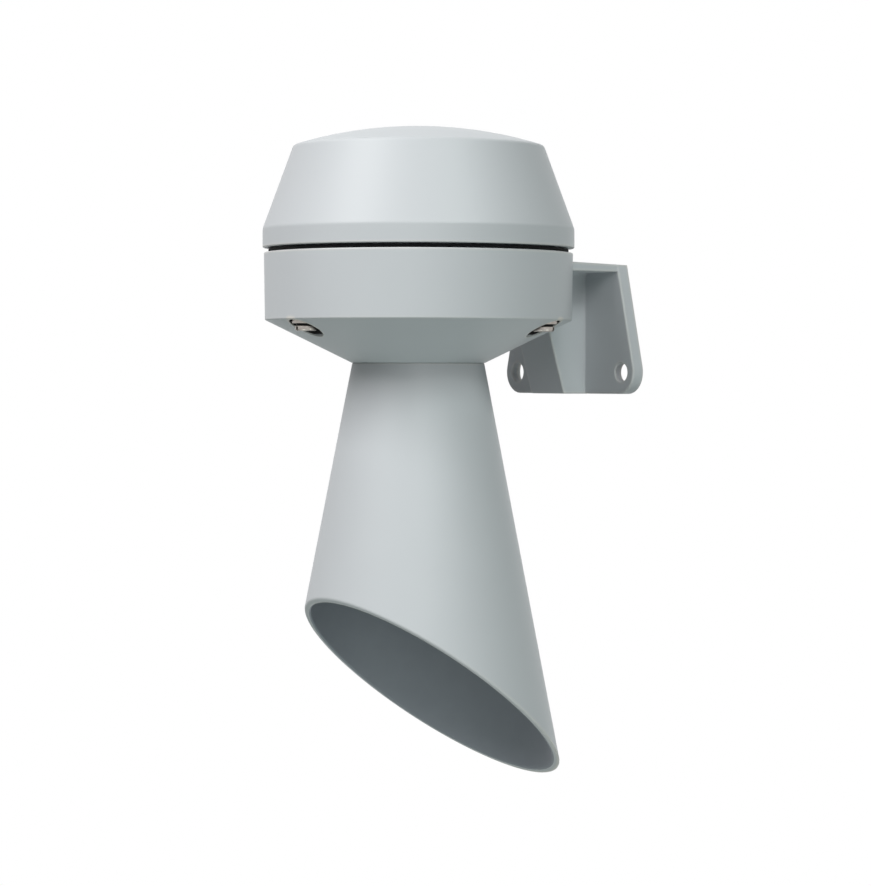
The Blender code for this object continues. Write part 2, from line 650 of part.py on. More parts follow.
def cap():
    """Cover with a locating lip and three screw bosses."""
    outer = cap_outline(0)
    inner = cap_outline(CAP_WALL)
    lip = INNER_RADIUS - BORE_GAP
    edge = CAP_EDGE_RADIUS
    arc = rounded(outer[:3] + [(0, outer[2][1])], (0, edge, 0, 0))[1:5]
    inner_lean = (inner[0][0] - inner[1][0]) / (inner[1][1] - inner[0][1])
    lip_root_z = CONE_Z + (inner[0][0] - lip + LIP_THICKNESS) / inner_lean
    rim = [
        (lip - LIP_THICKNESS, lip_root_z),
        (lip - LIP_THICKNESS, SKIRT_Z - LIP_DEPTH),
        (lip, SKIRT_Z - LIP_DEPTH),
        (lip, SKIRT_Z),
        (SKIRT_RADIUS, SKIRT_Z),
        outer[0],
    ]
    profile = inner[:0:-1] + rim + arc + outer[2:]
    top = piece("cap", turned(profile, LARGE_TURN), GREY_PLASTIC)
    bosses = piece("add_cap_bosses", rod(CAP_BOSS_RADIUS, PILLAR_TOP + SEAT_GAP, CAP_RIM_Z,
                                         SMALL_TURN, screw_places()))
    boolean(bosses, cap_core(), "INTERSECT")
    depth_z = POCKET_TOP - SEAT_GAP + COVER_SHANK_LENGTH + SEAT_GAP
    holes = piece("cut_cap_boss_holes", rod(COVER_SHANK_RADIUS + BORE_GAP, 0, depth_z,
                                            SMALL_TURN, screw_places()))
    cut(join(top, bosses), holes)


def seal_ring():
    """Black gasket in the seam between the band and the cap."""
    inner = INNER_RADIUS + BORE_GAP / 3
    bm = ring(inner, inner + SEAL_WIDTH, BAND_HEIGHT + SEAT_GAP, SKIRT_Z - SEAT_GAP, LARGE_TURN)
    piece("seal_ring", bm, BLACK_RUBBER)


def cover_screws():
    """Three slotted screws with a captive washer, heads down in their pockets."""
    seat = POCKET_TOP - SEAT_GAP
    neck = seat - COVER_WASHER_THICKNESS
    head = neck - COVER_NECK_HEIGHT
    foot = head - COVER_HEAD_HEIGHT
    top = seat + COVER_SHANK_LENGTH
    chamfer = COVER_HEAD_HEIGHT / 4
    profile = [
        (0, foot),
        (COVER_HEAD_RADIUS - chamfer, foot),
        (COVER_HEAD_RADIUS, foot + chamfer),
        (COVER_HEAD_RADIUS, head),
        (COVER_SHANK_RADIUS, head),
        (COVER_SHANK_RADIUS, neck),
        (COVER_WASHER_RADIUS, neck),
        (COVER_WASHER_RADIUS, seat),
        (COVER_SHANK_RADIUS, seat),
        (COVER_SHANK_RADIUS, top - COVER_SHANK_RADIUS),
        (0, top),
    ]
    for number, (at, angle) in enumerate(zip(screw_places(), SCREW_ANGLES), start=1):
        screw = piece(f"cover_screw_{number}", turned(profile), PLATED_STEEL, at)
        slot = piece(f"cut_slot_{number}",
                     box(0, 0, foot - SLOT_DEPTH, (4 * COVER_HEAD_RADIUS, SLOT_WIDTH, 2 * SLOT_DEPTH)), at=at)
        slot.rotation_euler.z = math.radians(angle)
        cut(screw, slot)


def cable_grommet():
    """Rubber grommet in the cable inlet, with a lip on both sides of the wall."""
    neck = INLET_RADIUS - BORE_GAP
    lip = GROMMET_RADIUS
    inner_face = math.sqrt(INNER_RADIUS ** 2 - lip ** 2) - SEAT_GAP
    outer_face = ARM_FRONT_Y + SEAT_GAP
    profile = [
        (GROMMET_BORE, inner_face - GROMMET_LIP_THICKNESS),
        (lip, inner_face - GROMMET_LIP_THICKNESS),
        (lip, inner_face),
        (neck, inner_face),
        (neck, outer_face),
        (lip, outer_face),
        (lip, outer_face + GROMMET_LIP_THICKNESS),
        (GROMMET_BORE, outer_face + GROMMET_LIP_THICKNESS),
    ]
    piece("cable_grommet", lying(turned(profile)), BLACK_RUBBER, at=(0, 0, inlet_z()))


def sound_horn():
    """Conical horn with a spigot above its shoulder and a slanted, rounded mouth."""
    shoulder_z = NECK_Z - SEAT_GAP
    web_z = shoulder_z - SPIGOT_WALL
    slope = math.tan(HORN_TAPER)
    far_z = shoulder_z - 2 * HORN_AXIS_LENGTH
    wall = HORN_WALL / math.cos(HORN_TAPER)
    far_r = HORN_TOP_RADIUS + slope * (shoulder_z - far_z)
    web_r = HORN_TOP_RADIUS + slope * (shoulder_z - web_z) - wall
    bore = SPIGOT_RADIUS - SPIGOT_WALL
    profile = [
        (far_r, far_z),
        (HORN_TOP_RADIUS, shoulder_z),
        (SPIGOT_RADIUS, shoulder_z),
        (SPIGOT_RADIUS, SPIGOT_TOP_Z),
        (bore, SPIGOT_TOP_Z),
        (bore, web_z),
        (web_r, web_z),
        (far_r - wall, far_z),
    ]
    bm = bmesh.new()
    spin(bm, profile, LARGE_TURN, closed=False)
    mouth = (0, 0, NECK_Z - HORN_AXIS_LENGTH)
    outwards = (0, -math.sin(MOUTH_TILT), -math.cos(MOUTH_TILT))
    bmesh.ops.bisect_plane(bm, geom=bm.verts[:] + bm.edges[:] + bm.faces[:],
                           plane_co=mouth, plane_no=outwards, clear_outer=True)
    open_edges = [edge for edge in bm.edges if edge.is_boundary]
    bmesh.ops.bridge_loops(bm, edges=open_edges)
    bmesh.ops.bevel(bm, geom=open_edges, offset=MOUTH_ROUNDING, segments=2, profile=0.5,
                    affect="EDGES", clamp_overlap=True)
    piece("sound_horn", bm, GREY_PLASTIC)


def horn_ring_nut():
    """Notched ring that clamps the horn's spigot to the housing's floor."""
    inner = SPIGOT_RADIUS + BORE_GAP
    outer = inner + RING_NUT_WIDTH
    nut = piece("horn_ring_nut", ring(inner, outer, RING_NUT_Z, RING_NUT_Z + RING_NUT_HEIGHT,
                                      MEDIUM_TURN), DARK_PLASTIC)
    for number in range(RING_NUT_NOTCHES):
        notch = piece(f"cut_notch_{number}",
                      box(outer + NOTCH_DEPTH, 0, RING_NUT_Z - NOTCH_DEPTH,
                          (4 * NOTCH_DEPTH, NOTCH_WIDTH, RING_NUT_HEIGHT + 2 * NOTCH_DEPTH)))
        notch.rotation_euler.z = math.tau * number / RING_NUT_NOTCHES
        cut(nut, notch)


def diaphragm_gaskets():
    """Two flat rings that clamp the diaphragm's edge."""
    inner = DIAPHRAGM_RADIUS - CLAMP_WIDTH
    for name, low in (("lower_gasket", LOWER_GASKET_Z), ("upper_gasket", UPPER_GASKET_Z)):
        bm = ring(inner, DIAPHRAGM_RADIUS, low, low + GASKET_THICKNESS, MEDIUM_TURN)
        piece(name, bm, BLACK_RUBBER)


def moving_set():
    """Diaphragm, armature and the screw that joins them; they travel together along Z."""
    hole = ARMATURE_SCREW_RADIUS + BORE_GAP
    sheet = ring(hole, DIAPHRAGM_RADIUS, DIAPHRAGM_Z, DIAPHRAGM_Z + DIAPHRAGM_THICKNESS, MEDIUM_TURN)
    piece("diaphragm", sheet, SPRING_STEEL)
    top = ARMATURE_Z + ARMATURE_HEIGHT
    hole_top = ARMATURE_Z + ARMATURE_SCREW_REACH + SEAT_GAP
    disc = [(0, top), (ARMATURE_RADIUS, top), (ARMATURE_RADIUS, ARMATURE_Z), (hole, ARMATURE_Z),
            (hole, hole_top), (0, hole_top)]
    piece("armature", turned(disc), SOFT_IRON)
    head_top = DIAPHRAGM_Z - SEAT_GAP
    head_foot = head_top - ARMATURE_HEAD_HEIGHT
    shank_top = ARMATURE_Z + ARMATURE_SCREW_REACH
    screw = [(0, head_foot), (ARMATURE_HEAD_RADIUS, head_foot), (ARMATURE_HEAD_RADIUS, head_top),
             (ARMATURE_SCREW_RADIUS, head_top), (ARMATURE_SCREW_RADIUS, shank_top), (0, shank_top)]
    piece("armature_screw", turned(screw), PLATED_STEEL)


def driver_frame():
    """Cast plate over the diaphragm with openings for the armature, air and screws."""
    opening = ARMATURE_RADIUS + ARMATURE_OPENING_GAP
    plate = piece("driver_frame",
                  ring(opening, FRAME_RADIUS, FRAME_Z, FRAME_TOP_Z, MEDIUM_TURN), CAST_ALUMINIUM)
    hole = M3_SHANK_RADIUS + BORE_GAP
    low, high = FRAME_Z - BEYOND, FRAME_TOP_Z + BEYOND
    pillar_places = [polar(BOARD_PILLAR_CIRCLE, angle) for angle in BOARD_PILLAR_ANGLES]
    yoke_places = [(side * YOKE_SCREW_X, 0, 0) for side in (-1, 1)]
    places = frame_screw_places() + pillar_places + yoke_places
    vent_places = [polar(FRAME_VENT_CIRCLE, FRAME_VENT_FIRST_ANGLE + i * 360 / FRAME_VENTS)
                   for i in range(FRAME_VENTS)]
    cut(plate,
        piece("cut_frame_holes", rod(hole, low, high, TINY_TURN, places)),
        piece("cut_frame_vents", rod(FRAME_VENT_RADIUS, low, high, TINY_TURN, vent_places)))


def small_screw(name, at, under_head_z, length):
    """Pan-head machine screw with its head up."""
    profile = [
        (0, under_head_z - length),
        (M3_SHANK_RADIUS, under_head_z - length),
        (M3_SHANK_RADIUS, under_head_z),
        (M3_HEAD_RADIUS, under_head_z),
        (M3_HEAD_RADIUS, under_head_z + M3_HEAD_HEIGHT * 0.6),
        (M3_HEAD_RADIUS * 0.7, under_head_z + M3_HEAD_HEIGHT),
        (0, under_head_z + M3_HEAD_HEIGHT),
    ]
    piece(name, turned(profile, TINY_TURN), PLATED_STEEL, at)


def frame_screws():
    """Four screws that clamp the frame, gaskets and diaphragm to the seat ring."""
    for number, at in enumerate(frame_screw_places(), start=1):
        small_screw(f"frame_screw_{number}", at, ON_FRAME_Z, FRAME_SCREW_LENGTH)


def magnet_yoke():
    """Steel strap bent over the coil, with two feet on the frame."""
    foot_top = ON_FRAME_Z + YOKE_THICKNESS
    under_top = YOKE_TOP_Z - YOKE_THICKNESS
    foot_x = YOKE_OUTER_X + YOKE_FOOT
    half = [
        (foot_x, ON_FRAME_Z),
        (foot_x, foot_top),
        (YOKE_OUTER_X, foot_top),
        (YOKE_OUTER_X, YOKE_TOP_Z),
    ]
    inner = [(YOKE_INNER_X, under_top), (YOKE_INNER_X, ON_FRAME_Z)]
    outline = half + [(-x, z) for x, z in reversed(half)]
    outline += [(-x, z) for x, z in reversed(inner)] + inner
    strap = piece("magnet_yoke", prism(outline, -YOKE_WIDTH / 2, YOKE_WIDTH / 2, "Y"), SOFT_IRON)
    stem = piece("cut_yoke_stem_hole",
                 rod(CORE_STEM_RADIUS + BORE_GAP, under_top - BORE_GAP, YOKE_TOP_Z + BORE_GAP))
    places = [(side * YOKE_SCREW_X, 0, 0) for side in (-1, 1)]
    feet = piece("cut_yoke_foot_holes",
                 rod(M3_SHANK_RADIUS + BORE_GAP, FRAME_Z, foot_top + BORE_GAP, TINY_TURN, places))
    cut(strap, stem, feet)
    for number, at in enumerate(places, start=1):
        small_screw(f"yoke_screw_{number}", at, foot_top + SEAT_GAP, YOKE_SCREW_LENGTH)


def magnet_core():
    """Round pole with a threaded stem through the yoke, and its lock nut."""
    shoulder = BOBBIN_TOP_Z
    profile = [
        (0, CORE_Z),
        (CORE_RADIUS, CORE_Z),
        (CORE_RADIUS, shoulder),
        (CORE_STEM_RADIUS, shoulder),
        (CORE_STEM_RADIUS, CORE_TOP_Z),
        (0, CORE_TOP_Z),
    ]
    piece("magnet_core", turned(profile), SOFT_IRON)
    nut = piece("core_nut", prism(hexagon(CORE_NUT_FLATS), CORE_NUT_Z, CORE_NUT_Z + CORE_NUT_HEIGHT),
                PLATED_STEEL)
    cut(nut, piece("cut_core_nut_bore",
                   rod(CORE_STEM_RADIUS + BORE_GAP, CORE_NUT_Z - BORE_GAP, CORE_TOP_Z)))


def coil():
    """Nylon bobbin, its winding and the two pins that lead up to the board."""
    hub_inner = CORE_RADIUS + BORE_GAP
    hub_outer = hub_inner + BOBBIN_WALL
    low_flange = ON_FRAME_Z + BOBBIN_FLANGE
    high_flange = BOBBIN_TOP_Z - BOBBIN_FLANGE
    profile = [
        (hub_inner, ON_FRAME_Z),
        (BOBBIN_RADIUS, ON_FRAME_Z),
        (BOBBIN_RADIUS, low_flange),
        (hub_outer, low_flange),
        (hub_outer, high_flange),
        (BOBBIN_RADIUS, high_flange),
        (BOBBIN_RADIUS, BOBBIN_TOP_Z),
        (hub_inner, BOBBIN_TOP_Z),
    ]
    piece("coil_bobbin", turned(profile, MEDIUM_TURN), NATURAL_NYLON)
    winding = ring(hub_outer + BORE_GAP, WINDING_RADIUS, low_flange + SEAT_GAP, high_flange - SEAT_GAP,
                   MEDIUM_TURN)
    piece("coil_winding", winding, COPPER_ENAMEL)
    for number, side in enumerate((-1, 1), start=1):
        pin = rod(COIL_PIN_RADIUS, BOBBIN_TOP_Z + SEAT_GAP, BOARD_Z - SEAT_GAP, 8)
        piece(f"coil_pin_{number}", pin, BRASS, at=(0, side * COIL_PIN_CIRCLE, 0))


def circuit_board():
    """Round board with one straight edge, where the supply wires come up."""
    half = math.acos(BOARD_FLAT_Y / BOARD_RADIUS)
    steps = MEDIUM_TURN
    start = math.pi / 2 + half
    sweep = math.tau - 2 * half
    outline = [polar(BOARD_RADIUS, math.degrees(start + sweep * i / steps))[:2] for i in range(steps + 1)]
    board = piece("circuit_board", prism(outline, BOARD_Z, BOARD_TOP_Z), BOARD_GREEN)
    places = [polar(BOARD_PILLAR_CIRCLE, angle) for angle in BOARD_PILLAR_ANGLES]
    cut(board, piece("cut_board_holes",
                     rod(M3_SHANK_RADIUS + BORE_GAP, BOARD_Z - BEYOND, BOARD_TOP_Z + BEYOND,
                         TINY_TURN, places)))


def board_pillars():
    """Hexagonal pillars with a stud below and a tapped hole above, and the board's screws."""
    top = BOARD_Z - SEAT_GAP
    stud_low = ON_FRAME_Z - PILLAR_STUD_LENGTH
    hole_low = BOARD_TOP_Z + SEAT_GAP - BOARD_SCREW_LENGTH - SEAT_GAP
    for number, angle in enumerate(BOARD_PILLAR_ANGLES, start=1):
        at = polar(BOARD_PILLAR_CIRCLE, angle)
        pillar = piece(f"board_pillar_{number}", prism(hexagon(PILLAR_FLATS), ON_FRAME_Z, top), BRASS, at)
        stud = piece(f"add_pillar_stud_{number}",
                     rod(M3_SHANK_RADIUS, stud_low, ON_FRAME_Z + M3_SHANK_RADIUS, TINY_TURN), at=at)
        hole = piece(f"cut_pillar_hole_{number}",
                     rod(M3_SHANK_RADIUS + BORE_GAP, hole_low, top + BORE_GAP, TINY_TURN), at=at)
        cut(join(pillar, stud), hole)
        small_screw(f"board_screw_{number}", at, ON_BOARD_Z, BOARD_SCREW_LENGTH)


def terminal_block():
    """Screw terminal: stepped body, a wire port for each pole and its clamping screw."""
    width = TERMINAL_POLES * TERMINAL_PITCH + TERMINAL_PITCH / 4
    front, back = TERMINAL_Y + TERMINAL_DEPTH / 2, TERMINAL_Y - TERMINAL_DEPTH / 2
    top = ON_BOARD_Z + TERMINAL_HEIGHT
    outline = [
        (back, ON_BOARD_Z),
        (front, ON_BOARD_Z),
        (front, top - TERMINAL_SHOULDER),
        (front - TERMINAL_SHOULDER, top),
        (back, top),
    ]
    body = piece("terminal_block", prism(outline, -width / 2, width / 2, "X"), TERMINAL_GREEN)
    screw_z = top - TERMINAL_SCREW_SINK
    screw_y = TERMINAL_Y - TERMINAL_SHOULDER / 2
    for number in range(TERMINAL_POLES):
        x = (number - (TERMINAL_POLES - 1) / 2) * TERMINAL_PITCH
        port = piece(f"cut_terminal_port_{number}",
                     box(x, front, ON_BOARD_Z + TERMINAL_PORT / 3,
                         (TERMINAL_PORT, 2 * TERMINAL_PORT_DEPTH, TERMINAL_PORT)))
        well = piece(f"cut_terminal_well_{number}",
                     rod(TERMINAL_SCREW_RADIUS + BORE_GAP, screw_z, top + BEYOND, TINY_TURN),
                     at=(x, screw_y, 0))
        cut(body, port, well)
        head = rod(TERMINAL_SCREW_RADIUS, screw_z + SEAT_GAP, top - BORE_GAP, TINY_TURN)
        piece(f"terminal_screw_{number + 1}", head, PLATED_STEEL, at=(x, screw_y, 0))


def filter_capacitor():
    """Standing electrolytic capacitor in a shrink sleeve, with its rolled-in neck."""
    low, high = ON_BOARD_Z, ON_BOARD_Z + CAPACITOR_HEIGHT
    neck = CAPACITOR_RADIUS / 8
    profile = [
        (0, low),
        (CAPACITOR_RADIUS - neck / 2, low),
        (CAPACITOR_RADIUS, low + neck),
        (CAPACITOR_RADIUS - neck / 2, low + 2 * neck),
        (CAPACITOR_RADIUS, low + 3 * neck),
        (CAPACITOR_RADIUS, high - neck),
        (CAPACITOR_RADIUS - neck, high),
        (0, high),
    ]
    piece("filter_capacitor", turned(profile), SLEEVE_BLUE, at=(*CAPACITOR_PLACE, 0))


def switching_transistor():
    """Power transistor that chops the coil's current: moulded body on its metal tab."""
    width, depth, height = TRANSISTOR_SIZE
    outline = [
        (0, 0),
        (depth, 0),
        (depth, height),
        (TRANSISTOR_TAB, height),
        (TRANSISTOR_TAB, height + TRANSISTOR_TAB_HEIGHT),
        (0, height + TRANSISTOR_TAB_HEIGHT),
    ]
    bm = prism(outline, -width / 2, width / 2, "X")
    piece("switching_transistor", bm, DARK_PLASTIC, at=(*TRANSISTOR_PLACE, ON_BOARD_Z))


def bridge_rectifier():
    """Flat four-lead rectifier with one chamfered corner."""
    width, depth, height = RECTIFIER_SIZE
    outline = [
        (-width / 2, 0),
        (width / 2, 0),
        (width / 2, height - RECTIFIER_CHAMFER),
        (width / 2 - RECTIFIER_CHAMFER, height),
        (-width / 2, height),
    ]
    bm = prism(outline, -depth / 2, depth / 2, "Y")
    piece("bridge_rectifier", bm, DARK_PLASTIC, at=(*RECTIFIER_PLACE, ON_BOARD_Z))


def build():
    """Empty scene, the wall_face empty and every piece under it."""
    for old in list(bpy.data.objects):
        bpy.data.objects.remove(old)
    root = bpy.data.objects.new("wall_face", None)
    root.location = (0, -WALL_DISTANCE, -RIM_MIDDLE_Z)
    bpy.context.collection.objects.link(root)
    lower_housing()
    cap()
    seal_ring()
    cover_screws()
    cable_grommet()
    sound_horn()
    horn_ring_nut()
    diaphragm_gaskets()
    moving_set()
    driver_frame()
    frame_screws()
    magnet_yoke()
    magnet_core()
    coil()
    circuit_board()
    board_pillars()
    terminal_block()
    filter_capacitor()
    switching_transistor()
    bridge_rectifier()


build()
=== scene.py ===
import bmesh
import bpy
import numpy as np
from mathutils import Matrix, Vector


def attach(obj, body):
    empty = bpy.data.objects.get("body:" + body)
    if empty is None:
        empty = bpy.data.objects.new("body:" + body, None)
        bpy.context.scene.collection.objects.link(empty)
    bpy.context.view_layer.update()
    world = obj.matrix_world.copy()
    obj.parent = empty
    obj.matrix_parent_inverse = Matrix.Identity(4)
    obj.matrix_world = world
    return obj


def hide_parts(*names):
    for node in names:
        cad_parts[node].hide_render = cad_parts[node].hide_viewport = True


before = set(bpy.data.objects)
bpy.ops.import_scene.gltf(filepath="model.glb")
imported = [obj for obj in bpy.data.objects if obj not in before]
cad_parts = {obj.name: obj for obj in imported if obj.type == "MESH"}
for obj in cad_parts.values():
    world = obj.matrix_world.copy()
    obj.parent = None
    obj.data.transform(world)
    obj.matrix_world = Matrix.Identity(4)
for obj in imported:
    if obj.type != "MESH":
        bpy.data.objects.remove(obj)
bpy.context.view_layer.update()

# ---------------------------------------------------------------------------------------
# Lower housing.  One moulding in light grey ABS: round band, cone underneath with three
# counterbored screw pockets, floor with the horn's seat, and the wall bracket, which is a
# roof, a hollow arm and a rimmed plate.  Screwed to the wall through the plate's two holes.
# ---------------------------------------------------------------------------------------

MM = 0.001
# The housing's own frame has its axis at x = y = 0 and the band's lower edge at z = 0;
# here is where that origin sits, measured from the wall and the bracket's top rim.
HOUSING_PLACE = np.array([0.0, -59.6, -15.15])

BAND_R, BAND_FOOT_R, BAND_TOP_Z, WALL = 45.0, 44.7, 19.6, 2.5
NECK_R, NECK_Z, FLOOR_Z, FLOOR_HOLE_R = 19.4, -12.4, -9.5, 13.3
CONE_SLOPE = 12.4 / (BAND_FOOT_R - NECK_R)
SEAT_R, SEAT_INNER_R, SEAT_TOP_Z, FLOOR_R = 25.0, 21.8, 0.5, 19.637
SCREW_ANGLES, SCREW_CIRCLE = (-90.0, 30.0, 150.0), 39.3
POCKET_R, POCKET_TOP_Z, SCREW_HOLE_R = 4.9, 0.6, 2.2
PILLAR_R, PILLAR_TOP_Z = 6.3, 9.0
WALL_Y, PLATE_Y, PLATE_BACK_Y = 59.6, 55.7, 58.1
PLATE_TOP_Z, PLATE_FOOT_Z, PLATE_TOP_HALF, PLATE_FOOT_HALF = 16.8, -21.4, 23.2, 32.6
PLATE_CORNER, PLATE_RIM, PLATE_EDGE, PLATE_BACK_EDGE = 6.5, 2.0, 0.5, 0.25
PLATE_SIDE_Y = (56.6, 59.2)
BOLT_X, BOLT_Z, BOLT_R, BOLT_BEVEL = 25.1, -15.0, 2.8, 0.25
ROOF_Z, ROOF_RISE, ROOF_RUN, ROOF_FRONT_Y, ROOF_BACK_Y, ROOF_EDGE = 14.7, 0.7, 24.0, 35.0, 58.6, 0.4
ARM_HALF, ARM_FOOT_Y, ARM_CONE_Y, ARM_BAND_Y, ARM_BACK_Y = 8.0, 47.8, 41.3, 43.25, 57.2
ARM_TOP_Z, ARM_CONE_Z, ARM_BAND_Z = 15.75, -0.416, 0.53
ARM_LOW_Z, ARM_MIDDLE_Z, ARM_HIGH_Z = -20.8, -10.0, 13.7
ARM_FOOT_EDGE, ARM_FRONT_EDGE, ARM_FLARE, ARM_FLANGE = 0.4, 0.45, 0.85, 1.6
HOLLOW_HALF, HOLLOW_FRONT_Y, HOLLOW_KNEE_Z, HOLLOW_FOOT_Y, HOLLOW_FOOT_Z, HOLLOW_EDGE = (
    6.1, 46.2, -9.97, 49.15, -19.5, 0.6)
INLET_Z, INLET_R, INLET_FRONT_Y, INLET_BACK_Y = 7.706, 4.5, 38.0, 48.0
# Shapes that are joined overlap by a little; those that are taken away, or trimmed off
# later, run on past the housing to these places
OVERLAP = 0.05
BELOW_Z, ABOVE_Z, CORE_TOP_Z = -40.0, 30.0, 40.0
IN_FRONT_Y, IN_THE_WALL_Y, BEHIND_Y = 50.0, 70.0, 80.0


def rounded(corners, reach, steps=5, margin=0.3):
    """Closed outline whose corners become circular arcs; the first axis runs along it.

    An arc starts and ends its reach away from the corner.  It is the rational blend
    ((1-t)^2 start + 2 w t(1-t) corner + t^2 end) / ((1-t)^2 + 2 w t(1-t) + t^2), which is
    a circle when w is the sine of half the angle between the two sides.  One more point
    on each side, a margin of the reach further out, keeps the flat sides shaded flat.
    """
    corners = np.asarray(corners, float)
    reach = np.asarray(reach, float).reshape((-1, 1) + (1,) * (corners.ndim - 1))
    back = np.roll(corners, 1, 0) - corners
    ahead = np.roll(corners, -1, 0) - corners
    back /= np.linalg.norm(back, axis=-1, keepdims=True)
    ahead /= np.linalg.norm(ahead, axis=-1, keepdims=True)
    w = np.sqrt((1 - (back * ahead).sum(-1, keepdims=True)) / 2)[:, None]
    t = np.linspace(0, 1, steps + 1).reshape((1, -1) + (1,) * (corners.ndim - 1))
    corner, back, ahead = corners[:, None], back[:, None], ahead[:, None]
    start, end = corner + back * reach, corner + ahead * reach
    arc = (1 - t) ** 2 * start + 2 * w * t * (1 - t) * corner + t ** 2 * end
    arc = arc / ((1 - t) ** 2 + 2 * w * t * (1 - t) + t ** 2)
    path = np.concatenate([start + back * reach * margin, arc, end + ahead * reach * margin], 1)
    return path.reshape((-1,) + corners.shape[1:])


def turned(outline, around=256, axis="Z", centre=(0, 0, 0)):
    """Rows of rings: each (r, z) point becomes the ring x = r cos a, y = r sin a at its z."""
    a = np.linspace(0, 2 * np.pi, around, endpoint=False)
    r, z = np.asarray(outline, float).T
    x, y, h = np.outer(r, np.cos(a)), np.outer(r, np.sin(a)), np.outer(z, np.ones(around))
    order = {"Z": (x, y, h), "Y": (x, h, -y)}[axis]
    return np.stack(order, -1) + np.asarray(centre, float)


def carried(outline, levels, axis):
    """Rows of one flat outline carried along an axis: row i is the outline at levels[i].

    The outline holds (x, y), (x, z) or (y, z), or one such outline for each level.
    """
    outline, levels = np.asarray(outline, float), np.asarray(levels, float)
    rows = np.broadcast_to(outline, (len(levels),) + outline.shape[-2:])
    level = np.broadcast_to(levels[:, None], rows.shape[:2])
    u, v = rows[..., 0], rows[..., 1]
    return np.stack({"Z": (u, v, level), "Y": (u, level, v), "X": (level, u, v)}[axis], -1)


def surface(name, rows, joined=False):
    """Mesh object over a grid: ring i is joined to ring i + 1 by four-sided faces.

    The last ring meets the first one when joined, otherwise both ends get a flat face.
    Points within 0.0002 mm of each other are merged, and the faces are turned outwards.
    """
    count, around = rows.shape[:2]
    index = np.arange(count * around).reshape(count, around)
    low = index if joined else index[:-1]
    high = np.roll(index, -1, 0) if joined else index[1:]
    faces = np.stack([low, np.roll(low, -1, 1), np.roll(high, -1, 1), high], -1)
    faces = faces.reshape(-1, 4).tolist()
    if not joined:
        faces += [index[0][::-1].tolist(), index[-1].tolist()]
    mesh = bpy.data.meshes.new(name)
    mesh.from_pydata(((rows.reshape(-1, 3) + HOUSING_PLACE) * MM).tolist(), [], faces)
    solid = bmesh.new()
    solid.from_mesh(mesh)
    bmesh.ops.remove_doubles(solid, verts=solid.verts, dist=2e-4 * MM)
    bmesh.ops.recalc_face_normals(solid, faces=solid.faces)
    solid.to_mesh(mesh)
    solid.free()
    made = bpy.data.objects.new(name, mesh)
    bpy.context.collection.objects.link(made)
    return made


def moulded(target, steps):
    """Add ("UNION"), take away ("DIFFERENCE") or keep ("INTERSECT") each shape in turn,
    then keep the outcome as the target's own mesh.

    Points within 0.008 mm of each other are merged, faces without area are dissolved, and
    any hole of up to four edges that is then open is closed.
    """
    for operation, tool in steps:
        step = target.modifiers.new(tool.name, "BOOLEAN")
        step.operation, step.object, step.solver = operation, tool, "EXACT"
        tool.hide_render = True
    bpy.context.view_layer.update()
    cut = target.evaluated_get(bpy.context.evaluated_depsgraph_get())
    outcome = bpy.data.meshes.new_from_object(cut)
    shut = bmesh.new()
    shut.from_mesh(outcome)
    bmesh.ops.remove_doubles(shut, verts=shut.verts, dist=0.008 * MM)
    bmesh.ops.dissolve_degenerate(shut, dist=0.002 * MM, edges=shut.edges)
    bmesh.ops.holes_fill(shut, edges=[edge for edge in shut.edges if edge.is_boundary], sides=4)
    many_sided = [face for face in shut.faces if len(face.verts) > 4]
    bmesh.ops.triangulate(shut, faces=many_sided, ngon_method="BEAUTY")
    bmesh.ops.recalc_face_normals(shut, faces=shut.faces)
    shut.to_mesh(outcome)
    shut.free()
    target.modifiers.clear()
    target.data = outcome
    for _, tool in steps:
        bpy.data.objects.remove(tool)
    return target


def smoothed(target, edge=32.0):
    """Shade smooth up to an edge angle in degrees, with the larger faces leading."""
    target.data.shade_smooth()
    target.data.set_sharp_from_angle(angle=np.radians(edge))
    lead = target.modifiers.new("larger faces lead", "WEIGHTED_NORMAL")
    lead.keep_sharp = True
    return target


def cone_z(r):
    """Height of the underside cone's outer face: minus the slope * (the band's foot - r)."""
    return -CONE_SLOPE * (BAND_FOOT_R - r)


def screw_spots():
    """The three screw axes as (x, y) rows: the screw circle's radius * (cos a, sin a)."""
    angles = np.radians(SCREW_ANGLES)
    return np.stack([np.cos(angles), np.sin(angles)], -1) * SCREW_CIRCLE


# The wall's thickness measured straight up, where it follows the cone
rise = WALL * np.hypot(1, CONE_SLOPE)
shell_outline = [
    (FLOOR_HOLE_R, NECK_Z), (NECK_R, NECK_Z), (BAND_FOOT_R, 0), (BAND_R, BAND_TOP_Z),
    (BAND_R - WALL, BAND_TOP_Z), (BAND_R - WALL, cone_z(BAND_R - WALL) + rise),
    (SEAT_R, cone_z(SEAT_R) + rise), (SEAT_R, SEAT_TOP_Z), (SEAT_INNER_R, SEAT_TOP_Z),
    (SEAT_INNER_R, cone_z(SEAT_INNER_R) + rise), (FLOOR_R, FLOOR_Z), (FLOOR_HOLE_R, FLOOR_Z),
]
shell_reach = (0.1, 0.15, 0.3, 0.35, 0.3, 0.5, 0.3, 0.2, 0.2, 0.3, 0.1, 0.2)
lower_housing = surface("visual_lower_housing", turned(rounded(shell_outline, shell_reach)),
                        joined=True)

half_wall, half_floor = WALL / 2, (FLOOR_Z - NECK_Z) / 2
core_outline = [(0, NECK_Z + half_floor), (NECK_R, NECK_Z + half_floor),
                (BAND_FOOT_R - half_wall, cone_z(BAND_FOOT_R - half_wall) + half_wall),
                (BAND_R - half_wall, CORE_TOP_Z), (0, CORE_TOP_Z)]


def housing_core(name):
    """Solid of revolution that fills the housing up to the middle of its wall."""
    return surface(name, turned(core_outline, 128))


